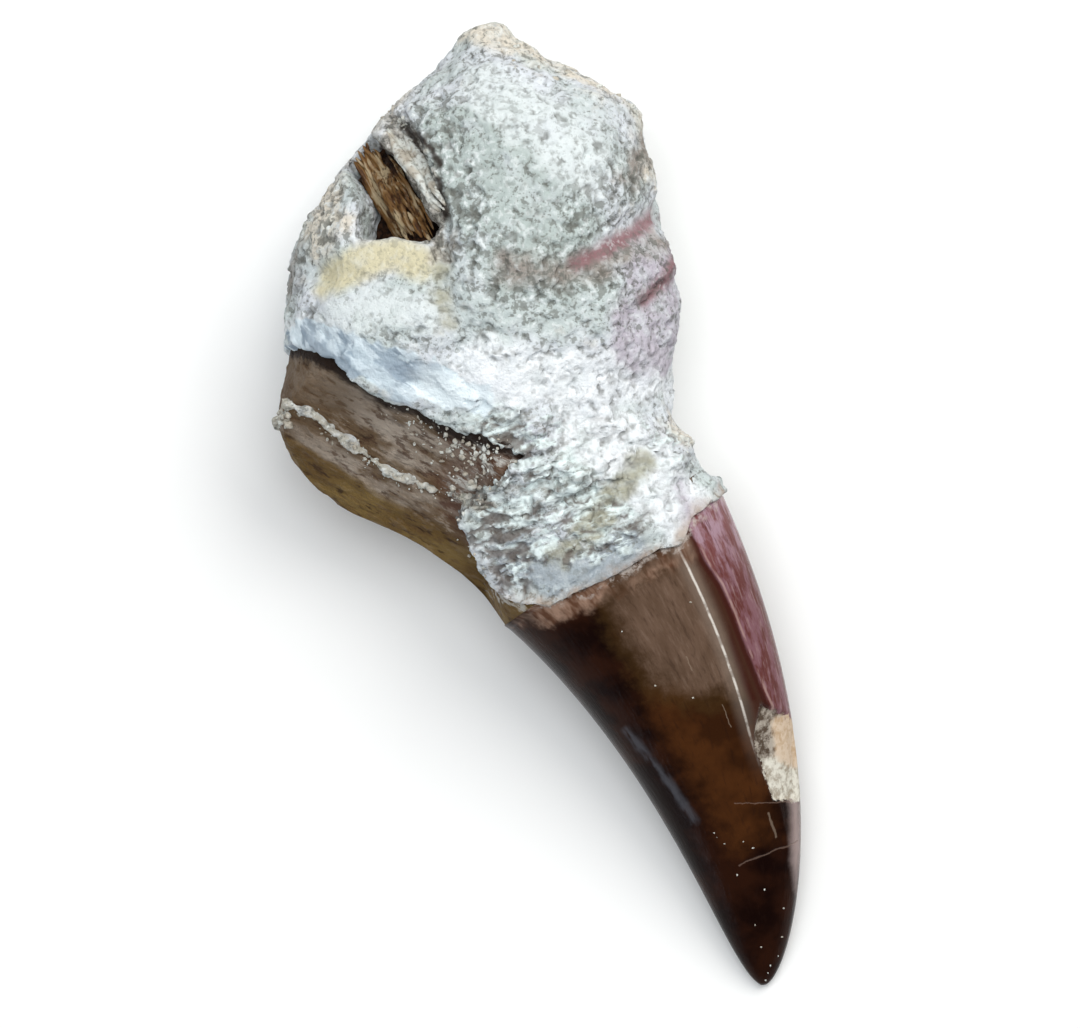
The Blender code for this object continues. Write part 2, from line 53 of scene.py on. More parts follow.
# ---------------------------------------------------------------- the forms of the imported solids

# The crown: a bent cone on an arc that starts at the neck and ends at the tip.
CROWN_LENGTH = 42.6
CROWN_BASE = (6.5, -4.1)
CROWN_HALF_WIDTH = 11.5
CROWN_FLATNESS = 0.75          # half thickness over half width
TAPER = (0.91, 0.60)           # exponents of the half width's fall towards the tip
LEAN_AT_NECK = math.radians(35.0)   # of the crown's axis, from -Y towards +X
LEAN_AT_TIP = math.radians(4.0)
NECK_HEIGHT = 11.8             # of the crown's axis above the floor
TIP_HEIGHT = 0.9
DROOP = 1.1                    # above 1, the crown's axis drops faster towards the tip
BLUNT_TIP = 0.998              # share of the axis at which the crown is closed
CARINA_SIDE = 0.52             # the cutting edge's place across the crown, 1 at the right side
CARINA_SIDE_AT_TIP = 0.98
CARINA_TURN = (0.45, 0.95)     # along the crown: between these the edge swings to the side
CARINA_HEIGHT = 0.55
CARINA_WIDTH = 0.10
CARINA_FADE = 0.15

# The root with its crust, from the broken end down to the neck. Each row is one section:
# left side x, y, right side x, y, lowest z, highest z. The last row is the crown's base.
ROOT_END = (-4.9, 43.6, 12.5)
ROOT_SECTIONS = [
    (-7.5, 41.6, -2.6, 42.4, 8.5, 16.8),
    (-10.4, 38.6, 2.3, 38.9, 4.2, 20.8),
    (-14.2, 35.0, 7.9, 36.1, 1.2, 23.8),
    (-17.3, 31.4, 9.8, 31.6, -0.9, 25.6),
    (-20.2, 26.5, 10.8, 26.0, -1.5, 26.6),
    (-22.4, 20.2, 12.2, 20.2, -1.5, 26.8),
    (-22.9, 14.3, 12.1, 14.6, -1.2, 26.0),
    (-23.8, 6.9, 12.2, 11.0, -0.4, 24.8),
    (-19.4, 0.7, 12.2, 7.9, 0.9, 23.2),
    (-12.1, -3.0, 13.1, 5.0, 2.1, 21.8),
    (-6.4, -7.0, 14.6, 3.4, 2.8, 20.9),
]
ROOT_SQUARENESS = 2.25         # exponent of the sections' outline, 2 for an ellipse
ROOT_CROWDING = 1.15           # above 1, the rings crowd towards the root's end
END_SECTIONS = 3.0             # the sections over which the root's end and its neck blend in
NECK_SECTIONS = 3.0
SIDE_BLUR = 0.10               # how the upper side passes into the underside, as a sine
SIDE_TURN = 0.6                # the same for the edge of the bare bone

# The crust: its depth over the buried root, and how far it stands above what is bare.
GAP = 0.3                      # between the tooth and the crust round it
CRUST_ON_ROOT = 1.9
CRUST_AT_NECK = 1.15
CRUST_AT_END = 0.8
STEP_AT_EDGE = 0.45
BURIED = 1.1                   # how far its form dives under bare bone before it is cut
COVER_FROM = 0.1               # how far under the crust's edge the bone starts to sink
COVER_WIDTH = 1.4              # and over how much further it does so
LEAST_COVER = 0.8              # share of the crust's depth that stays where its top is broken
RAGGED = 0.45                  # how far its broken edges wander
RAGGED_SIZE = 2.6
RAGGED_AT_NECK = 0.3           # share of that wandering where the enamel starts
RAGGED_AT_MOUTH = 0.5          # and round the mouth of the pit
BLUNT_EDGE = 0.5               # width over which a broken edge drops
LUMPS = [(6.0, 3, 0.55), (1.9, 2, 0.25)]   # of the crust: size, octaves and height
LEAST_CRUST = 0.3              # depth under which the crust has no lumps
LUMPS_ON_CROWN = 0.2           # share of their height

# The ledge where the crust has flaked off the side of the root, and its end on the enamel.
LEDGE = [(-23.0, 14.3), (-21.6, 14.1), (-18.9, 12.9), (-17.1, 11.8), (-15.3, 10.5), (-13.5, 9.4),
         (-10.8, 8.7), (-9.0, 7.3), (-6.3, 6.2), (-3.6, 5.5), (-1.6, 4.9)]
ENAMEL_EDGE = [(-3.9, -8.0), (-1.8, -8.6), (0.7, -8.7), (4.5, -7.1), (7.2, -5.7), (10.4, -3.9),
               (12.6, -3.4), (13.5, -1.0), (16.4, 1.1)]
# Where the crust is gone on the upper side: between the two, and on to the crown's tip.
BARE_ABOVE = [
    (-30.0, 14.6), (-22.9, 14.3), *LEDGE[1:], (-3.6, 2.6), (-5.6, 1.5), (-7.6, -1.0), (-6.3, -3.7),
    (-5.2, -6.4), *ENAMEL_EDGE, (30.0, 5.0), (30.0, -60.0), (-30.0, -60.0),
]
# The same on the underside, where the flaked band runs out sooner.
BARE_BELOW = [
    (-30.0, 14.6), (-22.0, 13.6), (-18.0, 9.6), (-15.2, 4.8), (-11.2, 1.6), (-8.4, -1.8),
    (-6.0, -5.2), (-3.9, -8.0), (-0.4, -8.0), (3.4, -8.4), (7.4, -6.4), (11.2, -3.2),
    (16.4, 1.1), (30.0, 5.0), (30.0, -60.0), (-30.0, -60.0),
]
# A rib of crust left standing across the bare bone.
RIB = [(-24.4, 6.8), (-22.7, 9.4), (-20.4, 8.5), (-18.1, 6.4), (-15.8, 4.8), (-13.8, 3.2),
       (-10.7, 1.9), (-8.0, 1.2), (-4.5, 0.2)]
RIB_HALF_WIDTH = 0.38          # crumbs make up the rest
RIB_UNEVEN = 1.2
RIB_GRAIN = 1.2
RIB_HEIGHT = 0.40
RIB_LOWEST = -0.2              # how far round the side it runs, as a sine

# Broken faces cut the round form: a point on the plane, the way down, and the slope.
BONE_FACE = ((-13.5, 9.4, 21.4), (-0.46, -0.89), 0.90)
FACE_RIGHT = -3.5              # the face runs out towards this x
FACE_EDGE = 2.0
FACE_UNDER = 1.9               # how far it runs on under the crust
FACE_BLUR = 1.2
BROKEN_CRUST = [
    ((-12.0, 14.0, 25.2), (-0.30, -0.95), 0.42),
    ((-9.4, 28.0, 24.6), (-0.87, 0.50), 0.45),
]
SCOOP = ((-17.5, 8.6), (-9.0, 4.2), 2.2, 0.9)

# The pit in the root's side, where the next tooth would have grown, with its block of fibres.
PIT = [
    (-18.6, 33.6), (-14.6, 35.0), (-11.6, 34.6), (-8.4, 28.0), (-7.2, 22.8), (-8.6, 19.0),
    (-13.5, 17.4), (-18.0, 18.8), (-20.0, 23.0), (-17.8, 28.4),
]
PIT_DEPTH = 7.0
PIT_FLOOR = 14.5               # height that the pit goes no lower than
PIT_WALL = 3.0                 # width over which its buried wall drops
PIT_RIM = 0.3                  # share of the drop at the outline itself
PIT_MOUTH = [
    (-18.4, 32.4), (-16.0, 34.2), (-14.2, 32.4), (-11.8, 28.9), (-9.3, 25.2), (-9.9, 23.5),
    (-12.6, 24.1), (-15.9, 23.8), (-15.6, 27.0), (-17.4, 30.4),
]
FIBRES = [
    (-17.8, 33.4), (-14.7, 34.4), (-13.0, 32.6), (-10.8, 29.0), (-9.0, 24.6), (-9.9, 22.8),
    (-12.6, 23.6), (-14.2, 27.4), (-16.0, 30.2),
]
FIBRES_EDGE = 0.6
FIBRES_DEPTH = 4.2
FIBRES_ALONG = (0.50, -0.87)
FIBRE_SPACING = 1.9
FIBRE_HEIGHT = 1.0
FIBRE_SWAY = 0.6               # radians that a splinter sways, and turns of that a spacing
SWAY_RATE = 1.14
# The layered edge of the crust between the fibres and the bulb of the root.
LAYERS = [(-13.4, 35.4), (-11.6, 34.2), (-10.0, 30.2), (-8.0, 26.4), (-8.0, 21.6), (-9.8, 21.8),
          (-9.8, 25.0), (-12.2, 29.0), (-14.6, 32.6)]
LAYERS_EDGE = 0.7
LAYERS_DEPTH = 1.4
LAYER_SPACING = 1.46
LAYER_HEIGHT = 0.6

# Long shallow grooves in the crust: two ends, half width and depth.
GROOVES = [
    ((11.6, 27.2), (3.0, 21.2), 1.5, 1.1),
    ((14.0, 22.0), (8.6, 17.2), 1.1, 0.7),
    ((9.8, 5.4), (1.2, -4.2), 1.6, 0.6),
    ((13.0, 11.0), (-4.0, 9.4), 2.8, 0.8),
    ((-12.0, 33.0), (-7.6, 22.0), 1.6, 1.0),
    ((-9.0, 21.0), (-7.0, 14.0), 1.8, 0.8),
    ((-19.8, 21.0), (-9.0, 19.6), 1.5, 1.0),
]
# Swellings of the crust: centre, radius and height.
SWELLINGS = [
    ((1.5, 30.5), 9.0, 0.9),
    ((-14.5, 16.0), 4.2, 1.0),
    ((-13.5, 21.6), 2.6, 0.7),
    ((12.0, 18.2), 4.0, 0.3),
    ((11.4, 5.4), 3.4, 0.6),
    ((14.0, 6.3), 1.8, 1.2),
    ((15.4, 1.8), 1.8, -0.3),
    ((-22.0, 23.4), 2.6, 0.8),
    ((-3.0, 9.8), 3.2, 0.4),
]

# Where the crust at the neck comes away in flakes, and the size and step of the flakes.
FLAKY = [(-6.5, 9.5), (6.0, 8.6), (13.4, 6.2), (13.0, 0.5), (4.0, -6.5), (-3.0, -7.0), (-5.6, 0.0)]
FLAKY_EDGE = 2.0
FLAKE_SIZE = np.array([10.0, 4.1, 6.1])
FLAKE_STEP = 0.45
FLAKE_COUNT = 2.6
FLAKE_FRONT = 0.25             # share of a ledge that its front takes

# The chip in the crown's right side, where the enamel is gone.
CHIP = [(20.0, -17.6), (22.4, -18.6), (23.6, -22.0), (23.4, -26.4), (21.2, -26.4), (20.4, -24.2),
        (19.2, -21.0)]
CHIP_EDGE = 0.4
CHIP_DEPTH = 0.45

# How finely the forms are made here.
TOOTH_GRID = {"root_count": 190, "crown_count": 200, "crown_end": BLUNT_TIP, "segments": 235}
CRUST_GRID = {"root_count": 260, "crown_count": 50, "crown_end": 0.20, "segments": 380}
ROOT_LENGTH = 48.0
FAR_OUTSIDE = 5.0              # a distance that no blurred edge reaches
SEED_STEP = Vector((17.3, 5.1, 9.7))   # from one pattern of noise to the next
NOISE_FALL = 0.8               # how much weaker each finer octave is, as an exponent
NOISE_RATIO = 2.0              # and how much finer


def smooth(x):
    """0 below 0, 1 above 1, and a smooth step between."""
    x = np.clip(x, 0.0, 1.0)
    return x * x * (3.0 - 2.0 * x)


def within(distance, width):
    """1 where a signed distance is positive, 0 where it is negative, blurred over this width."""
    return smooth(distance / width + 0.5)


def spline(rows, t):
    """The Catmull-Rom curve through evenly spaced rows of numbers, at t from 0 to their count - 1."""
    rows = np.asarray(rows, float)
    padded = np.vstack([2 * rows[0] - rows[1], rows, 2 * rows[-1] - rows[-2]])
    i = np.clip(np.floor(t).astype(int), 0, len(rows) - 2)
    f = (t - i)[..., None]
    a, b, c, d = (padded[i + k] for k in range(4))
    return 0.5 * (2 * b + (c - a) * f + (2 * a - 5 * b + 4 * c - d) * f**2
                  + (3 * b - a - 3 * c + d) * f**3)


def fractal(points, size, octaves, seed):
    """Fractal noise of about -1 to 1 at each point, with features of this size in millimetres."""
    offset = seed * SEED_STEP
    flat = points.reshape(-1, 3) / size
    values = [noise.fractal(Vector(p) + offset, NOISE_FALL, NOISE_RATIO, octaves) for p in flat]
    return np.array(values).reshape(points.shape[:-1])


def inside(x, y, outline):
    """Signed distance to a closed outline, positive inside it."""
    nearest = np.full(x.shape, np.inf)
    crossings = np.zeros(x.shape, int)
    for (ax, ay), (bx, by) in zip(outline, outline[1:] + outline[:1]):
        nearest = np.minimum(nearest, from_line(x, y, (ax, ay), (bx, by)))
        spans = (ay > y) != (by > y)
        at = ax + (y - ay) * (bx - ax) / (by - ay if by != ay else 1.0)
        crossings += spans & (x < at)
    return np.where(crossings % 2 == 1, nearest, -nearest)


def from_line(x, y, start, end):
    """Distance from each point to the straight line between two points."""
    dx, dy = end[0] - start[0], end[1] - start[1]
    share = np.clip(((x - start[0]) * dx + (y - start[1]) * dy) / (dx * dx + dy * dy), 0, 1)
    return np.hypot(x - start[0] - share * dx, y - start[1] - share * dy)


def from_path(x, y, path):
    """Distance from each point to a bent line."""
    return np.minimum.reduce([from_line(x, y, a, b) for a, b in zip(path, path[1:])])


def above_face(points, face):
    """How far each point stands above a sloping broken face."""
    (px, py, pz), (dx, dy), slope = face
    down = (points[..., 0] - px) * dx + (points[..., 1] - py) * dy
    return points[..., 2] - (pz - slope * down)


def normals(rings):
    """Outward unit normals of a grid of rings."""
    along = np.gradient(rings, axis=0)
    around = np.roll(rings, -1, axis=1) - np.roll(rings, 1, axis=1)
    n = np.cross(around, along)
    return n / np.maximum(np.linalg.norm(n, axis=2, keepdims=True), 1e-9)


def crown_axis(u):
    """Centre x, y, z and lean of the crown's axis, at u from 0 at the neck to 1 at the tip."""
    lean = LEAN_AT_NECK + (LEAN_AT_TIP - LEAN_AT_NECK) * u
    radius = CROWN_LENGTH / (LEAN_AT_NECK - LEAN_AT_TIP)
    x = CROWN_BASE[0] + radius * (np.cos(lean) - math.cos(LEAN_AT_NECK))
    y = CROWN_BASE[1] - radius * (math.sin(LEAN_AT_NECK) - np.sin(lean))
    z = NECK_HEIGHT + (TIP_HEIGHT - NECK_HEIGHT) * u**DROOP
    return x, y, z, lean


def crown_half_width(u):
    """Half the crown's width, which falls to 0 at the tip."""
    return CROWN_HALF_WIDTH * np.maximum(1.0 - u ** TAPER[0], 0.0) ** TAPER[1]


def carina_side(u):
    """The cutting edge's place across the crown, 1 at the right side."""
    start, end = CARINA_TURN
    turn = smooth((u - start) / (end - start))
    return CARINA_SIDE + (CARINA_SIDE_AT_TIP - CARINA_SIDE) * turn


def crown_rings(u, angle, grown=0.0):
    """Points of the crown's surface. The angle runs from its right side over the top."""
    x, y, z, lean = crown_axis(u)
    half_width = crown_half_width(u) + grown
    across, up = np.cos(angle), np.sin(angle)
    side = carina_side(u)
    upper = np.exp(-np.abs(across - side) / CARINA_WIDTH) * smooth(up / CARINA_FADE)
    lower = np.exp(-np.abs(across + side) / CARINA_WIDTH) * smooth(-up / CARINA_FADE)
    height = CARINA_HEIGHT * crown_half_width(u) / CROWN_HALF_WIDTH * (upper + lower)
    wide = half_width * across
    deep = (half_width * CROWN_FLATNESS + height) * up
    return np.stack([x + wide * np.cos(lean), y + wide * np.sin(lean), z + deep], axis=-1)


def root_rings(t, angle):
    """Points of the smooth form of the root with its crust, at t from 0 at the end of the root."""
    base = crown_rings(np.zeros(2), np.array([math.pi, 0.0]), STEP_AT_EDGE)
    half_depth = (CROWN_HALF_WIDTH + STEP_AT_EDGE) * CROWN_FLATNESS
    last = (*base[0, :2], *base[1, :2], NECK_HEIGHT - half_depth, NECK_HEIGHT + half_depth)
    rows = spline(ROOT_SECTIONS + [last], np.maximum(t - 1.0, 0.0))
    dome = np.sqrt(1.0 - (1.0 - np.minimum(t, 1.0)) ** 2)
    left, right, low, top = rows[..., 0:2], rows[..., 2:4], rows[..., 4], rows[..., 5]
    centre = np.concatenate([(left + right) / 2, ((low + top) / 2)[..., None]], axis=-1)
    end = np.array(ROOT_END)
    centre = end + (centre - end) * np.minimum(t, 1.0)[..., None]
    power = 2.0 / ROOT_SQUARENESS
    across = np.sign(np.cos(angle)) * np.abs(np.cos(angle)) ** power * dome
    up = np.sign(np.sin(angle)) * np.abs(np.sin(angle)) ** power * dome
    reach = (right - left) / 2
    return centre + np.stack([reach[..., 0] * across, reach[..., 1] * across,
                              (top - low) / 2 * up], axis=-1)


def grid(stations, segments):
    """Station values and angles of a grid, one row per ring."""
    angle = np.linspace(0.0, 2.0 * math.pi, segments, endpoint=False)
    return np.meshgrid(stations, angle, indexing="ij")


class Form:
    """The fossil's smooth form on one grid, with what the two pieces need to know of each point."""

    def __init__(self, root_count, crown_count, crown_end, segments):
        t_end = len(ROOT_SECTIONS) + 1.0
        share = np.linspace(0.0, 1.0, root_count + 1)[1:]
        t, root_angle = grid(t_end * share**ROOT_CROWDING, segments)
        u, crown_angle = grid(crown_end * np.linspace(0.0, 1.0, crown_count + 1)[1:], segments)
        root, crown = root_rings(t, root_angle), crown_rings(u, crown_angle)
        self.root_count = root_count
        self.points = np.concatenate([root, crown])
        self.normals = normals(self.points)
        self.x, self.y = self.points[..., 0], self.points[..., 1]
        self.on_crown = np.concatenate([np.zeros(t.shape), np.ones(u.shape)])
        self.angle = np.concatenate([root_angle, crown_angle])
        self.u = np.concatenate([t / t_end - 1.0, u])
        self.up = np.sin(self.angle)
        self.top = within(self.up, SIDE_BLUR)
        past_end = smooth(t / END_SECTIONS)
        neck = smooth((t - t_end) / NECK_SECTIONS + 1.0)
        self.neck = np.concatenate([neck, np.ones(u.shape)])
        self.steady = np.concatenate([(1.0 - neck) * past_end, np.zeros(u.shape)])
        on_root = CRUST_AT_END + (CRUST_ON_ROOT - CRUST_AT_END) * past_end
        self.crust = np.concatenate([on_root + (CRUST_AT_NECK - on_root) * neck,
                                     np.full(u.shape, CRUST_AT_NECK - STEP_AT_EDGE)])
        bare_above = inside(self.x, self.y, BARE_ABOVE)
        bare_below = inside(self.x, self.y, BARE_BELOW)
        self.bare = bare_below + (bare_above - bare_below) * within(self.up, SIDE_TURN)


def fibre_ridges(x, y, spacing):
    """Long splinters that lie side by side: 0 between two of them, 1 at the crest of each."""
    across = x * -FIBRES_ALONG[1] + y * FIBRES_ALONG[0]
    along = x * FIBRES_ALONG[0] + y * FIBRES_ALONG[1]
    sway = FIBRE_SWAY * np.sin(along * SWAY_RATE / spacing)
    return np.abs(np.sin(math.pi * across / spacing + sway))


def flakes(points):
    """Ledges where thin layers have come away: noise cut into steps with sharp fronts."""
    level = FLAKE_COUNT * fractal(points / FLAKE_SIZE, 1.0, 3, 8)
    step = np.floor(level)
    return step + smooth((level - step) / FLAKE_FRONT)


def crust_skin(form):
    """The crust's outer surface, as if it covered everything."""
    x, y = form.x, form.y
    relief = sum(height * fractal(form.points, size, octaves, 1 + i)
                 for i, (size, octaves, height) in enumerate(LUMPS))
    for start, end, half_width, depth in GROOVES:
        relief -= depth * np.exp(-(from_line(x, y, start, end) / half_width) ** 2) * form.top
    for (cx, cy), radius, height in SWELLINGS:
        relief += height * np.exp(-(np.hypot(x - cx, y - cy) / radius) ** 2) * form.top
    layers = LAYERS_DEPTH + LAYER_HEIGHT * fibre_ridges(x, y, LAYER_SPACING)
    relief -= within(inside(x, y, LAYERS), LAYERS_EDGE) * layers * form.top
    flaky = within(inside(x, y, FLAKY), FLAKY_EDGE) * form.top
    relief += FLAKE_STEP * flakes(form.points) * flaky
    relief *= smooth(form.crust - LEAST_CRUST) * (1.0 - (1.0 - LUMPS_ON_CROWN) * form.on_crown)
    skin = form.points + form.normals * (STEP_AT_EDGE * form.on_crown + relief)[..., None]
    for face in BROKEN_CRUST:
        skin[..., 2] -= np.maximum(above_face(skin, face), 0.0) * form.top * (1.0 - form.on_crown)
    return skin


def tooth_points(form, skin):
    """The tooth: the crown, the bare side of the root, and the root under the crust."""
    covered = smooth((-form.bare - COVER_FROM) / COVER_WIDTH)
    on_root = 1.0 - form.on_crown
    depth = STEP_AT_EDGE * on_root + (form.crust - STEP_AT_EDGE * on_root) * covered
    points = form.points - form.normals * depth[..., None]
    level = np.maximum(skin[..., 2], 0.0) - LEAST_COVER * form.crust * form.normals[..., 2]
    clipped = np.where(form.up > 0.0, np.minimum(points[..., 2], level),
                       np.maximum(points[..., 2], level))
    points[..., 2] += (clipped - points[..., 2]) * form.steady * covered
    start, end, half_width, scoop = SCOOP
    face = np.maximum(above_face(points, BONE_FACE), 0.0)
    face *= smooth((form.bare + FACE_UNDER) / FACE_BLUR)
    face += scoop * np.exp(-(from_line(form.x, form.y, start, end) / half_width) ** 2)
    points[..., 2] -= face * form.top * smooth((FACE_RIGHT - form.x) / FACE_EDGE) * on_root
    pit = smooth(inside(form.x, form.y, PIT) / PIT_WALL + PIT_RIM) * form.top * on_root
    block = within(inside(form.x, form.y, FIBRES), FIBRES_EDGE)
    ridges = FIBRE_HEIGHT * fibre_ridges(form.x, form.y, FIBRE_SPACING)
    floor = points[..., 2] - pit * (PIT_DEPTH - (PIT_DEPTH - FIBRES_DEPTH + ridges) * block)
    points[..., 2] = np.maximum(floor, np.minimum(points[..., 2], PIT_FLOOR))
    chip = within(inside(form.x, form.y, CHIP), CHIP_EDGE) * form.on_crown * form.top
    points -= form.normals * (CHIP_DEPTH * chip)[..., None]
    return points


def crust_points(form, skin, tooth):
    """The crust's outer form. Where it is gone, it dives under the tooth."""
    ragged = RAGGED + (RAGGED_AT_NECK - 1.0) * RAGGED * form.neck
    wander = ragged * fractal(form.points, RAGGED_SIZE, 3, 5)
    mouth = np.where(form.up > 0.0, inside(form.x, form.y, PIT_MOUTH), -FAR_OUTSIDE)
    gone = np.maximum(form.bare + wander, mouth + RAGGED_AT_MOUTH * wander)
    rib = RIB_HALF_WIDTH * (1.0 + RIB_UNEVEN * fractal(form.points, RIB_GRAIN, 2, 6))
    on_side = (form.up > RIB_LOWEST) * (1.0 - form.on_crown)
    rib -= from_path(form.x, form.y, RIB) + FAR_OUTSIDE * (1.0 - on_side)
    standing = within(rib, BLUNT_EDGE)
    level = (GAP + RIB_HEIGHT + BURIED) * standing - BURIED
    under = tooth + form.normals * level[..., None]
    return skin + (under - skin) * within(gone, BLUNT_EDGE)[..., None]


def lofted(name, rings):
    """A closed mesh object over a grid of rings."""
    count, segments = rings.shape[:2]
    ends = [rings[0].mean(axis=0), rings[-1].mean(axis=0)]
    points = (np.vstack([rings.reshape(-1, 3), ends]) - (*FOOTPRINT_CENTRE, 0.0)) * MM
    here = np.arange(count * segments).reshape(count, segments)
    after = np.roll(here, -1, axis=1)
    faces = np.stack([here[:-1], after[:-1], after[1:], here[1:]], axis=-1).reshape(-1, 4).tolist()
    first, last = here.size, here.size + 1
    for j in range(segments):
        k = (j + 1) % segments
        faces += [(first, k, j), (last, first - segments + j, first - segments + k)]
    mesh = bpy.data.meshes.new(name)
    mesh.from_pydata(points.tolist(), [], faces)
    mesh.shade_smooth()
    return add_object(name, mesh)


# ---------------------------------------------------------------- meshes with named masks


def add_object(name, data):
    """Puts a mesh, a lamp or a camera in the scene."""
    obj = bpy.data.objects.new(name, data)
    bpy.context.scene.collection.objects.link(obj)
    return obj


def evaluated_mesh(obj):
    """obj's mesh with its modifiers applied. The object itself is removed."""
    graph = bpy.context.evaluated_depsgraph_get()
    graph.update()
    mesh = bpy.data.meshes.new_from_object(obj.evaluated_get(graph))
    bpy.data.objects.remove(obj)
    return mesh


def read_points(mesh, kind="co"):
    """The mesh's points or normals, a row each; points in the millimetres of the outlines above."""
    values = np.empty(len(mesh.vertices) * 3)
    if kind == "normal":
        mesh.vertex_normals.foreach_get("vector", values)
        return values.reshape(-1, 3)
    mesh.vertices.foreach_get("co", values)
    return values.reshape(-1, 3) / MM + (*FOOTPRINT_CENTRE, 0.0)


def write_points(mesh, points):
    """Moves the mesh's points to these places, in the same millimetres."""
    moved = (points - (*FOOTPRINT_CENTRE, 0.0)) * MM
    mesh.vertices.foreach_set("co", moved.astype(np.float32).ravel())
    mesh.update()


def write_mask(mesh, name, values):
    """Keeps one number or one vector a point, which a material reads by name."""
    kind, key = ("FLOAT", "value") if values.ndim == 1 else ("FLOAT_VECTOR", "vector")
    made = mesh.attributes.new(name, kind, "POINT")
    made.data.foreach_set(key, np.ascontiguousarray(values, np.float32).ravel())


def drifted(points, size, wander, seed):
    """x and y of each point, moved about a little so that a patch's edge wanders."""
    drift = [wander * fractal(points, size, 3, seed + i) for i in range(2)]
    return points[..., 0] + drift[0], points[..., 1] + drift[1]


def patch(x, y, strokes, soft):
    """1 on the strokes, which are bent lines with a half width, and 0 off them."""
    return np.maximum.reduce([within(half_width - from_path(x, y, path), soft)
                              for path, half_width in strokes])


# ---------------------------------------------------------------- the crust

CRUST_VOXEL = 0.24
CRUST_TRIANGLES = 190000
PIT_CLEARANCE = 3.0            # how far the crust drops out of sight inside the pit
UPPER_FROM, UPPER_BLUR = 12.0, 6.0   # height at which the upper side starts
UPPER_WANDER, UPPER_SIZE = 4.0, 4.0

# Patches of the crust's upper side by colour and grain: bent lines and half widths.
TINTS = {
    "tan": [([(-20.4, 26.6), (-19.4, 23.4)], 1.2),
            ([(-6.3, 42.9), (1.8, 40.2), (9.0, 36.6), (10.6, 30.0)], 1.3),
            ([(-12.4, 38.0), (-15.0, 34.8), (-18.0, 32.0), (-21.5, 28.0)], 1.0),
            ([(-19.6, 29.0), (-18.4, 25.6)], 1.8), ([(11.6, 7.4), (14.2, 6.2)], 0.8)],
    "slate": [([(-1.6, -4.6), (1.6, -6.0), (5.0, -5.4), (8.0, -3.8)], 2.0)],
    "white": [([(-18.9, 16.4), (-14.0, 17.8), (-9.6, 17.2)], 1.8),
              ([(-4.0, 36.6), (1.0, 33.4), (3.6, 30.6)], 2.6)],
    "chalk": [([(-22.0, 16.2), (-20.0, 15.6)], 1.0), ([(-6.2, 11.0), (-2.6, 10.4)], 1.8),
              ([(-5.4, 13.0), (2.0, 11.6), (10.8, 12.0)], 2.2),
              ([(4.4, 7.4), (9.0, 3.6), (12.4, 0.2)], 3.0)],
    "lilac": [([(11.0, 20.4), (9.6, 15.4)], 3.6), ([(12.4, 1.6), (13.6, -0.6)], 0.9)],
    "olive": [([(9.2, 3.8), (5.6, -0.2), (1.8, -4.4)], 0.9), ([(-9.4, 5.0), (-6.4, 2.8)], 0.6),
              ([(-9.0, 21.0), (-8.2, 16.0)], 0.5)],
    "green": [([(-8.0, 33.0), (-5.0, 26.0), (-2.0, 22.0), (2.0, 21.4)], 3.4),
              ([(-4.0, 34.0), (4.0, 25.0)], 2.0)],
    "brown": [([(9.6, 33.0), (8.2, 29.4)], 1.1), ([(-3.4, 21.4), (1.0, 20.4), (6.0, 21.8)], 1.2),
              ([(6.0, 21.8), (9.6, 23.4), (13.0, 24.6)], 0.8), ([(-21.6, 24.4), (-22.6, 19.0)], 0.6)],
}
CREAM = [([(-19.2, 19.4), (-18.0, 20.6)], 0.7),
         ([(-18.0, 20.6), (-15.4, 22.0), (-12.6, 22.4), (-10.6, 21.6)], 1.5)]
RIB_STAIN = [(RIB, 0.7)]
PITTED = [([(-21.4, 24.6), (-22.4, 18.0)], 0.9),
          ([(-9.9, 34.0), (-6.4, 23.6), (-1.6, 19.8), (5.4, 21.4)], 3.0),
          ([(-20.6, 29.6), (-18.0, 25.4)], 2.4), ([(4.0, 26.0), (9.0, 30.0)], 2.4)]
TORN = [([(-7.4, 2.4), (-6.4, -0.6), (-3.4, -3.2), (-2.6, -6.2)], 2.0),
        ([(-6.0, 5.6), (-2.0, 5.4)], 1.4)]
GROOVE_STAIN = [([(10.8, 26.9), (8.2, 24.3), (5.6, 22.8), (3.2, 21.6)], 0.70),
                ([(12.0, 22.2), (11.2, 20.4), (9.0, 18.4)], 0.55)]
FACETS = [([(-20.6, 14.6), (-17.6, 13.7), (-14.6, 12.9), (-11.0, 11.4), (-8.6, 10.6)], 1.9),
          ([(-8.6, 10.6), (-5.4, 9.6)], 1.2)]
SMOOTH = [([(-18.6, 19.6), (-15.8, 21.8), (-12.2, 22.8), (-9.8, 22.0)], 1.5),
          ([(-5.0, 11.2), (-2.6, 10.6)], 1.6),
          ([(-0.4, -5.8), (4.0, -5.8), (7.4, -4.6)], 0.8),
          ([(-18.4, 17.4), (-14.0, 18.2), (-10.6, 17.8)], 1.0),
          ([(10.6, 26.6), (6.8, 24.2), (3.6, 21.9)], 0.8)]
# The other masks made of strokes: how soft the edge is, and whether it keeps close to the strokes.
PATCHES = {
    "facets": (FACETS, 1.2, False), "pitted": (PITTED, 2.0, False), "smooth": (SMOOTH, 0.7, False),
    "torn": (TORN, 1.6, False), "pink": (GROOVE_STAIN, 1.1, True), "cream": (CREAM, 1.5, True),
}
TINT_SOFT, RIB_SOFT = 1.6, 0.6
FAR_DRIFT, CLOSE_DRIFT = (2.2, 0.9, 31), (1.2, 0.25, 35)   # size, reach and seed of the wandering
CHALK_WHOLE = 0.75             # share of the layers that the chalky patches hide
FEATHER_WIDTH, FEATHER_DEPTH = 2.6, 0.16   # how the crust thins out on the enamel
STAIN_WIDTH = 1.5

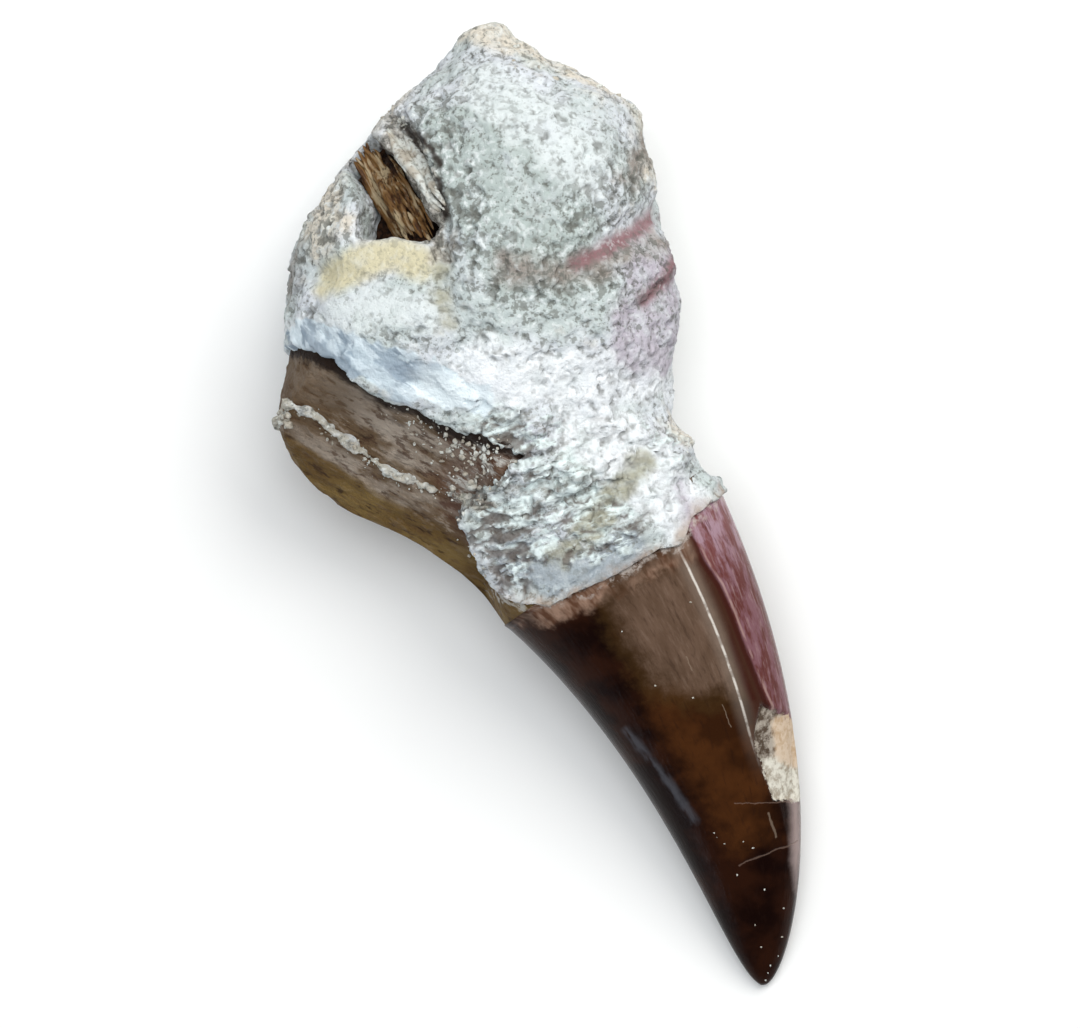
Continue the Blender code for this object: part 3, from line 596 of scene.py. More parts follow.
GRAIN_SIZE, GRAIN_HEIGHT = 0.70, 0.10
COARSE_SIZE, COARSE_HEIGHT = 2.4, 0.13
HOLE_SIZE, HOLE_DEPTH, HOLE_EDGE = 0.95, 0.30, 0.20
HOLE_LEVEL, HOLE_LEVEL_PITTED = 0.46, 0.20   # noise above which there is a hole
PORE_SIZE, PORE_DEPTH, PORE_LEVEL = 0.55, 0.14, 0.34
SMOOTH_SHARE = 0.14            # of the grain that stays on a smooth patch
SMOOTHED = {"smooth": 1.0, "feather": 0.8, "facets": 0.85}   # how much of that each mask does
FACET_TURN = math.radians(-38.0)   # the way the broken planes lie, from +X
FACET_SIZE = np.array([3.4, 1.5, 2.6])
FACET_STEP, FACET_SLOPE = 0.55, 0.5   # how much they differ in height and lean
CELL_SPREAD = 7.0              # keeps the lean of one plane apart from the next one's
FLAKE_TURN = math.radians(20.0)    # the way the layers at the neck run, from +X
FLAKE_DRIFT, LAYER_DRIFT = (4.0, 0.9, 37), (2.0, 0.5, 33)   # size, reach and seed
FINE_FLAKE_SIZE = np.array([3.2, 1.15, 2.6])
FINE_FLAKE_STEP, FINE_FLAKE_COUNT = 0.24, 3.0
TEAR_SIZE = np.array([2.1, 0.72, 1.4])
TEAR_DEPTH, TEAR_LEVEL = 0.34, 0.34
TEAR_MORE = 0.45               # how much lower the level is where the layers are torn
FINE_LAYER_SPACING, FINE_LAYER_HEIGHT = 0.62, 0.30
SEAM_NARROW, BACK_NARROW = 2.2, 6.0   # how narrow the dark seams at layers and the painted shade behind flake fronts are
FAINT = 0.6                    # how strong the painted shade in pores and at the backs of flakes is, next to holes
LEAST_OVER_TOOTH = 0.75        # depth of crust everywhere that it isn't broken off
DEEPEST, DEEPEST_AT_EDGE = 0.5, 0.12   # that the grain cuts into the crust


def upper_side(points):
    """1 on the fossil's upper side, 0 underneath."""
    wander = UPPER_WANDER * fractal(points, UPPER_SIZE, 3, 38)
    return within(points[..., 2] + wander - UPPER_FROM, UPPER_BLUR)


def crust_masks(points):
    """What the grain and the colours of the crust need to know of each point."""
    top = upper_side(points)
    (x, y), near = drifted(points, *FAR_DRIFT), drifted(points, *CLOSE_DRIFT)
    masks = {name: patch(x, y, strokes, TINT_SOFT) * top for name, strokes in TINTS.items()}
    for name, (strokes, soft, close) in PATCHES.items():
        masks[name] = patch(*(near if close else (x, y)), strokes, soft) * top
    masks["rib"] = patch(*near, RIB_STAIN, RIB_SOFT)
    flaky = within(inside(x, y, FLAKY), FLAKY_EDGE) * top
    masks["flaky"] = flaky * (1.0 - CHALK_WHOLE * masks["chalk"])
    masks["layers"] = within(inside(x, y, LAYERS), LAYERS_EDGE) * top
    to_enamel = from_path(x, y, ENAMEL_EDGE)
    masks["feather"] = smooth(1.0 - to_enamel / FEATHER_WIDTH)
    masks["stain"] = smooth(1.0 - to_enamel / STAIN_WIDTH)
    return masks


def turned(points, angle):
    """The points as seen from axes turned by this angle in the plan."""
    x, y, z = points[..., 0], points[..., 1], points[..., 2]
    return np.stack([x * math.cos(angle) + y * math.sin(angle),
                     y * math.cos(angle) - x * math.sin(angle), z], axis=-1)


def broken_planes(points, size):
    """Angular planes left by breaking: the height of each point on its own, and the plane's painted
    shade, from one of the numbers that tilt it.
    """
    heights, plane_shades = [], []
    for place in points / size:
        centre = noise.voronoi(Vector(place))[1][0]
        lean = noise.cell_vector(centre * CELL_SPREAD)
        off = Vector(place) - centre
        slope = off.x * (lean.x - 0.5) + off.y * (lean.y - 0.5)
        heights.append(FACET_STEP * (lean.z - 0.5) + FACET_SLOPE * slope)
        plane_shades.append(lean.x)
    return np.array(heights), np.array(plane_shades)


def crust_relief(points, masks):
    """The crust's grain: its height, the painted shade of its holes, pores and flake backs with the
    dark seams of its layers, its tears and the painted shade of its planes.
    """
    level = HOLE_LEVEL + (HOLE_LEVEL_PITTED - HOLE_LEVEL) * masks["pitted"]
    holes = within(fractal(points, HOLE_SIZE, 3, 23) - level, HOLE_EDGE)
    pores = within(fractal(points, PORE_SIZE, 2, 25) - PORE_LEVEL, HOLE_EDGE)
    grain = GRAIN_HEIGHT * fractal(points, GRAIN_SIZE, 4, 21)
    coarse = COARSE_HEIGHT * fractal(points, COARSE_SIZE, 3, 22)
    calm = np.maximum.reduce([share * masks[name] for name, share in SMOOTHED.items()])
    rough = 1.0 - (1.0 - SMOOTH_SHARE) * calm
    height = (grain + coarse - HOLE_DEPTH * holes - PORE_DEPTH * pores) * rough

    bent = points.copy()
    bent[..., 0], bent[..., 1] = drifted(points, *FLAKE_DRIFT)
    along = turned(bent, FLAKE_TURN)
    level = FINE_FLAKE_COUNT * fractal(along / FINE_FLAKE_SIZE, 1.0, 3, 24)
    behind = level - np.floor(level)
    flaky = masks["flaky"] * (1.0 - masks["smooth"]) * (1.0 - masks["feather"])
    height += FINE_FLAKE_STEP * (np.floor(level) + smooth(behind / FLAKE_FRONT)) * flaky
    torn = fractal(along / TEAR_SIZE, 1.0, 3, 29) - TEAR_LEVEL + TEAR_MORE * masks["torn"]
    tears = within(torn, HOLE_EDGE)
    tears *= np.maximum(flaky, masks["torn"]) * (1.0 - masks["smooth"])
    height -= TEAR_DEPTH * tears

    x, y = drifted(points, *LAYER_DRIFT)
    ridges = fibre_ridges(x, y, FINE_LAYER_SPACING)
    height += FINE_LAYER_HEIGHT * ridges * masks["layers"]
    seams = smooth(1.0 - SEAM_NARROW * ridges) * masks["layers"]

    # Each broken plane's painted shade, lighter or darker by its lean.
    plane_shade = np.zeros(len(points))
    broken = masks["facets"] > 0.0
    planes, plane_shade[broken] = broken_planes(turned(points[broken], FACET_TURN), FACET_SIZE)
    height[broken] += planes * masks["facets"][broken]
    # Painted shade behind flake fronts and in holes and pores, and the dark seams between layers.
    backs = FAINT * smooth(1.0 - BACK_NARROW * behind) * flaky
    hollow_shade = np.maximum.reduce([holes * rough, FAINT * pores * rough, backs, seams])
    return height, hollow_shade, tears, plane_shade


def make_crust():
    """The crust of sandy rock, with its grain and the masks of its patches."""
    form = Form(**CRUST_GRID)
    skin = crust_skin(form)
    tooth = tooth_points(form, skin)
    over = ((skin - tooth) * form.normals).sum(axis=-1)
    skin += form.normals * np.maximum(LEAST_OVER_TOOTH - over, 0.0)[..., None]
    points = crust_points(form, skin, tooth)
    hidden = within(inside(form.x, form.y, PIT_MOUTH), BLUNT_EDGE) * (form.up > 0.0)
    points[..., 2] = np.maximum(points[..., 2] - PIT_CLEARANCE * hidden, 0.0)
    rough = lofted("rock_form", points)
    even = rough.modifiers.new("Even", "REMESH")
    even.mode = "VOXEL"
    even.voxel_size = CRUST_VOXEL * MM
    mesh = evaluated_mesh(rough)

    points = read_points(mesh)
    masks = crust_masks(points)
    deepest = DEEPEST + (DEEPEST_AT_EDGE - DEEPEST) * masks["feather"]
    height = np.maximum(crust_relief(points, masks)[0], -deepest) - FEATHER_DEPTH * masks["feather"]
    points += read_points(mesh, "normal") * height[:, None]
    points[:, 2] = np.maximum(points[:, 2], 0.0)
    write_points(mesh, points)
    dense = add_object("rock_dense", mesh)
    fewer = dense.modifiers.new("Thin", "DECIMATE")
    fewer.ratio = CRUST_TRIANGLES / (2 * len(mesh.polygons))
    mesh = evaluated_mesh(dense)
    mesh.name = "rock_crust"
    mesh.shade_smooth()

    points = read_points(mesh)
    masks = crust_masks(points)
    _, masks["hollow_shade"], masks["tears"], masks["plane_shade"] = crust_relief(points, masks)
    for name, values in masks.items():
        write_mask(mesh, name, values)
    mesh.materials.append(rock_material())
    return add_object("rock_crust", mesh)


# ---------------------------------------------------------------- the tooth

# Zones of the crown's upper side, as outlines seen from above.
PURPLE = [(12.8, -1.0), (14.6, -4.6), (16.1, -6.9), (17.2, -9.4), (18.2, -12.0), (19.4, -14.9),
          (20.0, -16.4), (21.0, -18.5), (22.4, -19.6), (24.0, -19.6), (26.0, -10.0), (18.0, 4.0)]
DARK_RED = [(16.9, -10.4), (18.4, -14.4), (19.6, -17.2), (18.9, -17.5), (17.9, -15.6), (16.8, -12.2)]
# Where a pale sheen is painted on the enamel, standing for light that its gloss reflects.
PAINTED_SHEEN = [(6.2, -7.4), (9.0, -6.2), (13.4, -4.0), (15.6, -8.0), (16.6, -12.4), (17.6, -16.2),
        (13.0, -16.6), (10.4, -15.4), (7.8, -11.4)]
AMBER = [(8.6, -15.0), (13.0, -15.8), (18.0, -16.8), (20.4, -22.4), (21.4, -30.0), (17.4, -31.0),
         (14.2, -25.6), (10.6, -19.6)]
PALE_STRIP = [(22.6, -24.6), (23.6, -24.6), (23.9, -31.0), (23.4, -35.0), (22.9, -32.0)]
PEACH = [(21.2, -19.2), (22.8, -18.0), (26.0, -18.0), (26.0, -24.4), (21.6, -23.4)]
CHIP_SIDE = [(22.4, -18.8), (26.0, -18.8), (26.0, -26.6), (22.4, -26.6)]
CHIP_PALE = [(20.0, -22.6), (21.6, -22.6), (23.6, -23.6), (26.0, -23.6), (26.0, -28.0), (20.6, -26.6)]
ZONES = {"purple": PURPLE, "dark_red": DARK_RED, "painted_sheen": PAINTED_SHEEN, "amber": AMBER,
         "pale_strip": PALE_STRIP, "chip": CHIP, "chip_side": CHIP_SIDE}
ZONES_UNDER = 0.35             # how far the zones run on below the crown's widest line
ZONES_WANDER, ZONES_WANDER_SIZE = 0.3, 2.4
CARINA_SHIFT = 0.55            # the worn line lies beside the crest
SUNK, SUNK_OVER = 0.7, 0.9     # how far the tooth gives way under the crust at the neck
BONE_GRAIN, BONE_PITS = 0.13, 0.16
BONE_PIT_SIZE, BONE_PIT_LEVEL, BONE_PIT_EDGE = 0.8, 0.3, 0.3
BONE_TURN = math.radians(-31.0)    # the way the bone's grain runs, from +X
BONE_SIZE = np.array([3.4, 0.9, 1.6])
BAND_LINE = ((-16.0, 2.0), -0.62)   # a place on the line below which the bone is olive, and its slope


def make_tooth():
    """The enamel crown and the bone of the root, with the masks of their zones."""
    form = Form(**TOOTH_GRID)
    points = tooth_points(form, crust_skin(form))
    along = turned(points, BONE_TURN) / BONE_SIZE
    pits = within(fractal(along, BONE_PIT_SIZE, 3, 28) - BONE_PIT_LEVEL, BONE_PIT_EDGE)
    grain = BONE_GRAIN * fractal(along, 1.0, 4, 27) - BONE_PITS * pits
    sunk = SUNK * smooth(-form.bare / SUNK_OVER) * form.neck
    points += form.normals * (grain * (1.0 - form.neck) - sunk)[..., None]
    obj = lofted("tooth_body", points)
    mesh = obj.data

    def keep(name, values):
        write_mask(mesh, name, np.append(values.ravel(), values.ravel()[[0, -1]]))

    u = np.maximum(form.u, 0.0)
    across = np.cos(form.angle)
    half_width = crown_half_width(u)
    side = np.where(form.up > 0.0, 1.0, -1.0) * carina_side(u)
    keep("carina", (across - side) * half_width + CARINA_SHIFT)
    keep("u", form.u)
    keep("on_top", form.top)
    wander = ZONES_WANDER * fractal(points, ZONES_WANDER_SIZE, 4, 39)
    upper = within(form.up + ZONES_UNDER + wander, SIDE_BLUR)
    for name, outline in ZONES.items():
        keep(name, inside(form.x, form.y, outline) - FAR_OUTSIDE * (1.0 - upper))
    keep("peach", inside(form.x, form.y, PEACH))
    keep("chip_pale", inside(form.x, form.y, CHIP_PALE))
    keep("from_crust", from_path(form.x, form.y, ENAMEL_EDGE))
    (line_x, line_y), slope = BAND_LINE
    keep("lower_band", form.y - (line_y + slope * (form.x - line_x)))
    # Distance from the ledge, which sets a painted shadow on the bone just below it.
    keep("from_ledge", from_path(form.x, form.y, LEDGE))
    keep("from_crumbs", from_path(form.x, form.y, LEDGE[-3:] + TORN[0][0][:-1] + ENAMEL_EDGE[:2]))
    # Where the bone inside the pit gets painted shade, near black.
    keep("in_pit", within(inside(form.x, form.y, PIT), 1.0) * form.top * (1.0 - form.on_crown))
    along = np.where(form.u > 0.0, form.u * CROWN_LENGTH, form.u * ROOT_LENGTH)
    radius = np.where(form.u > 0.0, half_width, CROWN_HALF_WIDTH)
    grown = np.stack([radius * across, radius * np.sin(form.angle), along], axis=-1)
    write_mask(mesh, "grown", np.vstack([grown.reshape(-1, 3), grown[0, 0], grown[-1, 0]]))
    mesh.materials.append(enamel_material())
    mesh.materials.append(bone_material())
    kinds = np.zeros(len(mesh.polygons), int)
    kinds[: (form.root_count - 1) * form.points.shape[1]] = 1
    mesh.polygons.foreach_set("material_index", kinds)
    return obj


# ---------------------------------------------------------------- splinters and crumbs

SPLINTER_SEED, CRUMB_SEED = 5, 8
SPLINTER_SIDES, SPLINTER_RINGS = 7, 18
BLOCK = [(-17.3, 31.4), (-16.0, 32.8), (-13.6, 32.2), (-11.2, 28.9), (-9.0, 25.6), (-9.4, 23.2),
         (-12.6, 23.4), (-14.2, 26.6), (-15.6, 29.0)]   # the fibres in the pit
BLOCK_BASE = 15.4              # height that no splinter lies below
# Splinters of fibre: how many, least and greatest length, half width and lift.
SPLINTERS = [(9, (6.0, 9.4), (0.40, 0.62), (0.1, 0.5)), (52, (2.2, 7.0), (0.12, 0.32), (0.1, 0.8))]
# Thin plates of crust in the wall beside the fibres: where, and the same numbers.
WALL = [(-14.6, 34.8), (-12.2, 34.6), (-9.8, 31.4), (-8.2, 26.6), (-9.0, 24.8), (-11.6, 28.8)]
WALL_BASE = 17.0
PLATES = [(20, (2.4, 6.5), (0.22, 0.48), (0.0, 0.35))]
SPLINTER_BEND = (0.05, 0.28)   # how far one bends aside, least and most
SPLINTER_WAVES = 5.0           # radians of that bend from end to end
SPLINTER_DEPTH = 0.8           # share of its width
SPLINTER_UNEVEN = (0.85, 1.15)
END_WIDTH, END_BLUNT = 0.15, 0.6   # share of the width at its ends, and how fast it grows from there
WITHIN_BLOCK = 0.1             # least distance of its ends from the outline
FULL_TURN = 6.3                # a little over it, for random angles


ABOVE_ALL = 60.0               # height over every piece


class Ground:
    """Finds the height of the surface below a place, on the finished pieces."""

    def __init__(self, *objects):
        self.trees = []
        for obj in objects:
            points = read_points(obj.data)
            faces = [tuple(polygon.vertices) for polygon in obj.data.polygons]
            self.trees.append(BVHTree.FromPolygons([Vector(p) for p in points], faces))

    def height(self, x, y):
        """The highest surface at x, y."""
        start, down = Vector((x, y, ABOVE_ALL)), Vector((0.0, 0.0, -1.0))
        hits = [tree.ray_cast(start, down)[0] for tree in self.trees]
        return max((hit.z for hit in hits if hit is not None), default=0.0)


def add_splinter(bm, ground, base, start, length, width, lift, rng):
    """One long splinter that lies on the ground along the fibres, thinning out at both ends."""
    # How far each point faces up, which the material turns into painted light on top and painted shade
    # below.
    crest = bm.verts.layers.float.get("crest") or bm.verts.layers.float.new("crest")
    dx, dy = FIBRES_ALONG
    sway, phase = rng.uniform(*SPLINTER_BEND), rng.uniform(0.0, FULL_TURN)
    rings = []
    for share in np.linspace(0.0, 1.0, SPLINTER_RINGS):
        off = sway * math.sin(phase + SPLINTER_WAVES * share)
        x = start[0] + dx * length * share - dy * off
        y = start[1] + dy * length * share + dx * off
        z = max(ground.height(x, y), base) + lift
        thickness = END_WIDTH + (1.0 - END_WIDTH) * math.sin(math.pi * share) ** END_BLUNT
        rings.append((x, y, z, thickness * width))
    padded = np.pad([ring[2] for ring in rings], 2, mode="edge")
    heights = np.convolve(padded, np.ones(5) / 5, "valid")
    loops = []
    for (x, y, _, half), z in zip(rings, heights):
        loop = []
        for k in range(SPLINTER_SIDES):
            turn = 2.0 * math.pi * k / SPLINTER_SIDES
            wide = half * math.cos(turn) * rng.uniform(*SPLINTER_UNEVEN)
            deep = SPLINTER_DEPTH * half * math.sin(turn) * rng.uniform(*SPLINTER_UNEVEN)
            place = (Vector((x - dy * wide, y + dx * wide, z + deep)) - CENTRE) * MM
            vert = bm.verts.new(place)
            vert[crest] = math.sin(turn)
            loop.append(vert)
        loops.append(loop)
    for one, two in zip(loops, loops[1:]):
        for k in range(SPLINTER_SIDES):
            n = (k + 1) % SPLINTER_SIDES
            bm.faces.new((one[k], one[n], two[n], two[k]))
    bm.faces.new(loops[0])
    bm.faces.new(loops[-1])


def add_splinters(bm, ground, base, outline, kinds, rng):
    """Splinters whose both ends are inside an outline seen from above."""
    low, high = np.min(outline, axis=0), np.max(outline, axis=0)
    for count, lengths, widths, lifts in kinds:
        made = 0
        while made < count:
            start = rng.uniform(low, high)
            length = rng.uniform(*lengths)
            ends = np.array([start, start + np.array(FIBRES_ALONG) * length])
            if inside(ends[:, 0], ends[:, 1], outline).min() > WITHIN_BLOCK:
                width, lift = rng.uniform(*widths), rng.uniform(*lifts)
                add_splinter(bm, ground, base, start, length, width, lift, rng)
                made += 1


def make_splinters(ground):
    """The block of fibres in the pit, split into splinters."""
    bm = bmesh.new()
    add_splinters(bm, ground, BLOCK_BASE, BLOCK, SPLINTERS, np.random.default_rng(SPLINTER_SEED))
    return finished("pit_splinters", bm, splinter_material())


def finished(name, bm, material):
    """A smooth-shaded object of what bm holds."""
    bmesh.ops.recalc_face_normals(bm, faces=bm.faces)
    mesh = bpy.data.meshes.new(name)
    bm.to_mesh(mesh)
    bm.free()
    mesh.shade_smooth()
    mesh.materials.append(material)
    return add_object(name, mesh)


CRUMB_SUBDIVISIONS = 2         # of the ball that a crumb starts as
CRUMB_STRETCH = (0.5, 1.6)     # of the ball along each axis, least and most
CRUMB_LUMPS, CRUMB_LUMP_RATE = 0.7, 1.3
NOISE_REACH = 9.0              # how far apart the crumbs' patterns of lumps are taken


def add_crumb(bm, place, size, rng):
    """One irregular grain, half sunk at this place."""
    ball = bmesh.ops.create_icosphere(bm, subdivisions=CRUMB_SUBDIVISIONS, radius=1.0)["verts"]
    stretch = Vector(rng.uniform(*CRUMB_STRETCH, 3)) * size
    turn = Euler(rng.uniform(0.0, FULL_TURN, 3)).to_matrix()
    shift = Vector(rng.uniform(-NOISE_REACH, NOISE_REACH, 3))
    for vert in ball:
        bump = 1.0 + CRUMB_LUMPS * noise.noise(vert.co * CRUMB_LUMP_RATE + shift)
        offset = Vector(a * b for a, b in zip(turn @ vert.co, stretch)) * bump
        vert.co = (Vector(place) + offset - CENTRE) * MM


# Where loose grains sit: a bent line, half width, how many, least and greatest radius.
CRUMB_LINES = [
    (RIB, 0.7, 120, 0.05, 0.16),
    ([(-22.9, 7.8), (-22.2, 8.6)], 0.7, 12, 0.20, 0.42),
    ([(-13.5, 9.0), (-9.0, 6.9), (-3.6, 5.0)], 0.8, 60, 0.04, 0.30),
    ([(-9.6, 6.0), (-6.6, 3.8), (-3.6, 4.2)], 2.4, 140, 0.035, 0.26),
    ([(-4.6, 2.4), (-7.2, -1.0), (-5.2, -5.4)], 0.9, 24, 0.06, 0.20),
    ([(11.8, 7.2), (14.4, 5.4)], 0.9, 30, 0.08, 0.28),
    ([(-16.4, 34.2), (-13.2, 35.4), (-11.0, 31.0)], 0.8, 24, 0.08, 0.26),
    ([(-4.0, 41.6), (3.0, 39.0), (8.8, 35.8)], 1.2, 40, 0.08, 0.30),
]
# Single pale specks of rock on the enamel.
SPECKS = [(7.3, -10.9), (13.7, -16.9), (10.3, -15.8), (15.75, -29.3), (16.0, -29.7),
          (16.7, -30.3), (19.3, -30.7), (18.4, -30.1), (21.1, -41.8), (20.7, -43.2), (13.4, -8.3),
          (20.2, -40.0), (22.1, -39.1), (21.8, -40.9), (20.9, -42.5), (22.2, -36.4), (19.6, -37.9),
          (17.9, -33.2), (20.4, -34.6)]
SPECK_SIZE, SPECK_RANGE = 0.08, (0.7, 1.3)
LOWEST_CRUMB = 8.0             # no crumb lies lower on the rock's sides
SHORT_OF_END = 1.001           # keeps a crumb's place on the last stretch of its line
CRUMB_SCATTER = 0.5            # of the crumbs round their line, as a share of its half width
FEW_LARGE = 3                  # exponent that keeps most crumbs near the least radius
CRUMB_LIFT = 0.2               # of its centre over the ground, as a share of its radius


def make_crumbs(ground):
    """Loose grains of rock on the ledges, along the rib, and specks left on the enamel."""
    rng = np.random.default_rng(CRUMB_SEED)
    bm = bmesh.new()
    for path, spread, count, least, most in CRUMB_LINES:
        path = np.array(path)
        for _ in range(count):
            at = rng.uniform(0.0, len(path) - SHORT_OF_END)
            i = int(at)
            aside = rng.normal(0.0, CRUMB_SCATTER, 2) * spread
            x, y = path[i] + (path[i + 1] - path[i]) * (at - i) + aside
            size = least + (most - least) * rng.random() ** FEW_LARGE
            z = ground.height(x, y)
            if z > LOWEST_CRUMB:
                add_crumb(bm, (x, y, z + CRUMB_LIFT * size), size, rng)
    add_splinters(bm, ground, WALL_BASE, WALL, PLATES, rng)
    for x, y in SPECKS:
        add_crumb(bm, (x, y, ground.height(x, y)), SPECK_SIZE * rng.uniform(*SPECK_RANGE), rng)
    return finished("rock_crumbs", bm, crumb_material())


# ---------------------------------------------------------------- materials

NOISE_SHIFT = (13.7, 5.3, 9.1)    # from one pattern of a material's noise to the next


class Value:
    """A number, colour or place that varies over a surface, with arithmetic on it."""

    def __init__(self, shader, socket):
        self.shader, self.socket = shader, socket

    def math(self, operation, a, b=0.0):
        return self.shader.node("ShaderNodeMath", {0: a, 1: b}, operation=operation)

    def __add__(self, other):
        return self.math("ADD", self, other)

    def __sub__(self, other):
        return self.math("SUBTRACT", self, other)

    def __rsub__(self, other):
        return self.math("SUBTRACT", other, self)

    def __mul__(self, other):
        return self.math("MULTIPLY", self, other)

    def __abs__(self):
        return self.math("ABSOLUTE", self)

    def at_least(self, other):
        return self.math("MAXIMUM", self, other)

    def at_most(self, other):
        return self.math("MINIMUM", self, other)

    def span(self, low, high):
        """0 where the value is at low, 1 where it is at high, smooth between and level past them."""
        inputs = {"Value": self, "From Min": low, "From Max": high}
        return self.shader.node("ShaderNodeMapRange", inputs, interpolation_type="SMOOTHSTEP")


def either(*values):
    """The largest of the values."""
    return reduce(Value.at_least, values)


class Shader:
    """One material, with a short call for each kind of node that the fossil needs."""

    def __init__(self, name):
        self.material = bpy.data.materials.new(name)
        self.material.use_nodes = True
        self.tree = self.material.node_tree
        where = self.node("ShaderNodeTexCoord", {}, "Object")
        self.place = self.scaled(where, 1.0 / MM)

    def set(self, socket, value):
        """Links a socket, or sets a plain number, place or colour on it."""
        if isinstance(value, Value):
            self.tree.links.new(value.socket, socket)
        else:
            socket.default_value = (*value, 1.0) if socket.type == "RGBA" else value

    def node(self, kind, inputs, output=0, **settings):
        made = self.tree.nodes.new(kind)
        for key, value in settings.items():
            setattr(made, key, value)
        for key, value in inputs.items():
            self.set(made.inputs[key], value)
        return Value(self, made.outputs[output])

    def vector(self, operation, a, b, output="Vector"):
        return self.node("ShaderNodeVectorMath", {0: a, 1: b}, output, operation=operation)

    def scaled(self, place, scale):
        return self.node("ShaderNodeVectorMath", {0: place, "Scale": scale}, operation="SCALE")

    def mask(self, name, output="Fac"):
        return self.node("ShaderNodeAttribute", {}, output, attribute_name=name)

    def noise(self, size, detail=3.0, roughness=0.55, seed=0.0, stretch=(1.0, 1.0, 1.0), place=None):
        """Noise of 0 to 1 with features of this size in millimetres."""
        scaled = self.vector("MULTIPLY", place or self.place, tuple(1.0 / (size * s) for s in stretch))
        moved = self.vector("ADD", scaled, tuple(seed * shift for shift in NOISE_SHIFT))
        inputs = {"Vector": moved, "Scale": 1.0, "Detail": detail, "Roughness": roughness}
        return self.node("ShaderNodeTexNoise", inputs)

    def turned(self, degrees):
        """The place of each point, as seen from axes turned by this angle in the plan."""
        inputs = {"Vector": self.place, "Angle": math.radians(-degrees)}
        return self.node("ShaderNodeVectorRotate", inputs, rotation_type="Z_AXIS")

    def wandering(self, size, amount, seed):
        """The place of each point, moved about a little."""
        moves = {i: (self.noise(size, seed=seed + i) - 0.5) * amount for i in range(3)}
        return self.vector("ADD", self.place, self.node("ShaderNodeCombineXYZ", moves))

    def line(self, path, half_width, place, soft=0.5):
        """1 along a bent line seen from above, its points in the millimetres of the outlines."""
        distances = []
        for ends in zip(path, path[1:]):
            a, b = (Vector((*p, 0.0)) - CENTRE for p in ends)
            along = tuple((b - a).normalized())
            offset = self.vector("SUBTRACT", self.vector("MULTIPLY", place, (1.0, 1.0, 0.0)), tuple(a))
            share = self.vector("DOT_PRODUCT", offset, along, "Value")
            foot = self.scaled(along, share.at_least(0.0).at_most((b - a).length))
            distances.append(self.vector("DISTANCE", offset, foot, "Value"))
        nearest = reduce(Value.at_most, distances)
        return nearest.span(half_width * (1.0 + soft), half_width * (1.0 - soft))

    def lines(self, lines, place, soft=0.5):
        return either(*(self.line(path, half_width, place, soft) for path, half_width in lines))

    def mix(self, share, a, b):
        return self.node("ShaderNodeMix", {"Factor": share, 6: a, 7: b}, 2, data_type="RGBA")

    def coated(self, colour, coats):
        """The colour under coats of others, each with its share, the last on top."""
        return reduce(lambda under, coat: self.mix(coat[0], under, coat[1]), coats, colour)

    def finish(self, colour, roughness, height, depth, gloss=0.3):
        """Ends the material: its colour, roughness, a bump of this depth and how much it shines."""
        bump = self.node("ShaderNodeBump", {"Height": height, "Distance": depth * MM})
        surface = self.tree.nodes["Principled BSDF"].inputs
        self.set(surface["Base Color"], colour)
        self.set(surface["Roughness"], roughness)
        self.set(surface["Specular IOR Level"], gloss)
        self.set(surface["Normal"], bump)
        return self.material


# The rock's tints where the masks of the same names say so: in patches, and evenly.
ROCK_TINTS = {
    "green": (0.42, 0.48, 0.46), "white": (0.68, 0.73, 0.73), "chalk": (0.86, 0.89, 0.91),
    "tan": (0.70, 0.64, 0.54), "lilac": (0.50, 0.46, 0.52), "olive": (0.38, 0.37, 0.29),
    "brown": (0.30, 0.265, 0.235), "rib": (0.44, 0.41, 0.34),
}
EVEN_TINTS = {"cream": (0.64, 0.585, 0.39), "pink": (0.25, 0.125, 0.135), "slate": (0.335, 0.38, 0.415)}
CALM = {"smooth": 0.55, "white": 0.50, "chalk": 0.75, "facets": 0.9, "cream": 0.6, "pink": 0.3}
# Dark seams between the layers in the wall of the pit: bent lines and half widths.
SEAMS = [([(-12.2, 34.0), (-10.1, 32.4), (-9.3, 31.3), (-8.7, 30.2)], 0.30),
         ([(-9.0, 29.0), (-8.5, 27.2), (-8.3, 25.6)], 0.32),
         ([(-14.2, 32.4), (-12.2, 30.2), (-11.6, 28.7)], 0.20),
         ([(-11.4, 33.2), (-10.6, 31.6), (-10.0, 29.6)], 0.18)]
FACETS_BLUE_SHADE = [(-19.8, 13.9), (-13.4, 12.4)]   # where the broken planes get painted bluish shade
FACETS_PALE = [(-9.4, 10.6), (-3.4, 8.8)]      # and where they are palest


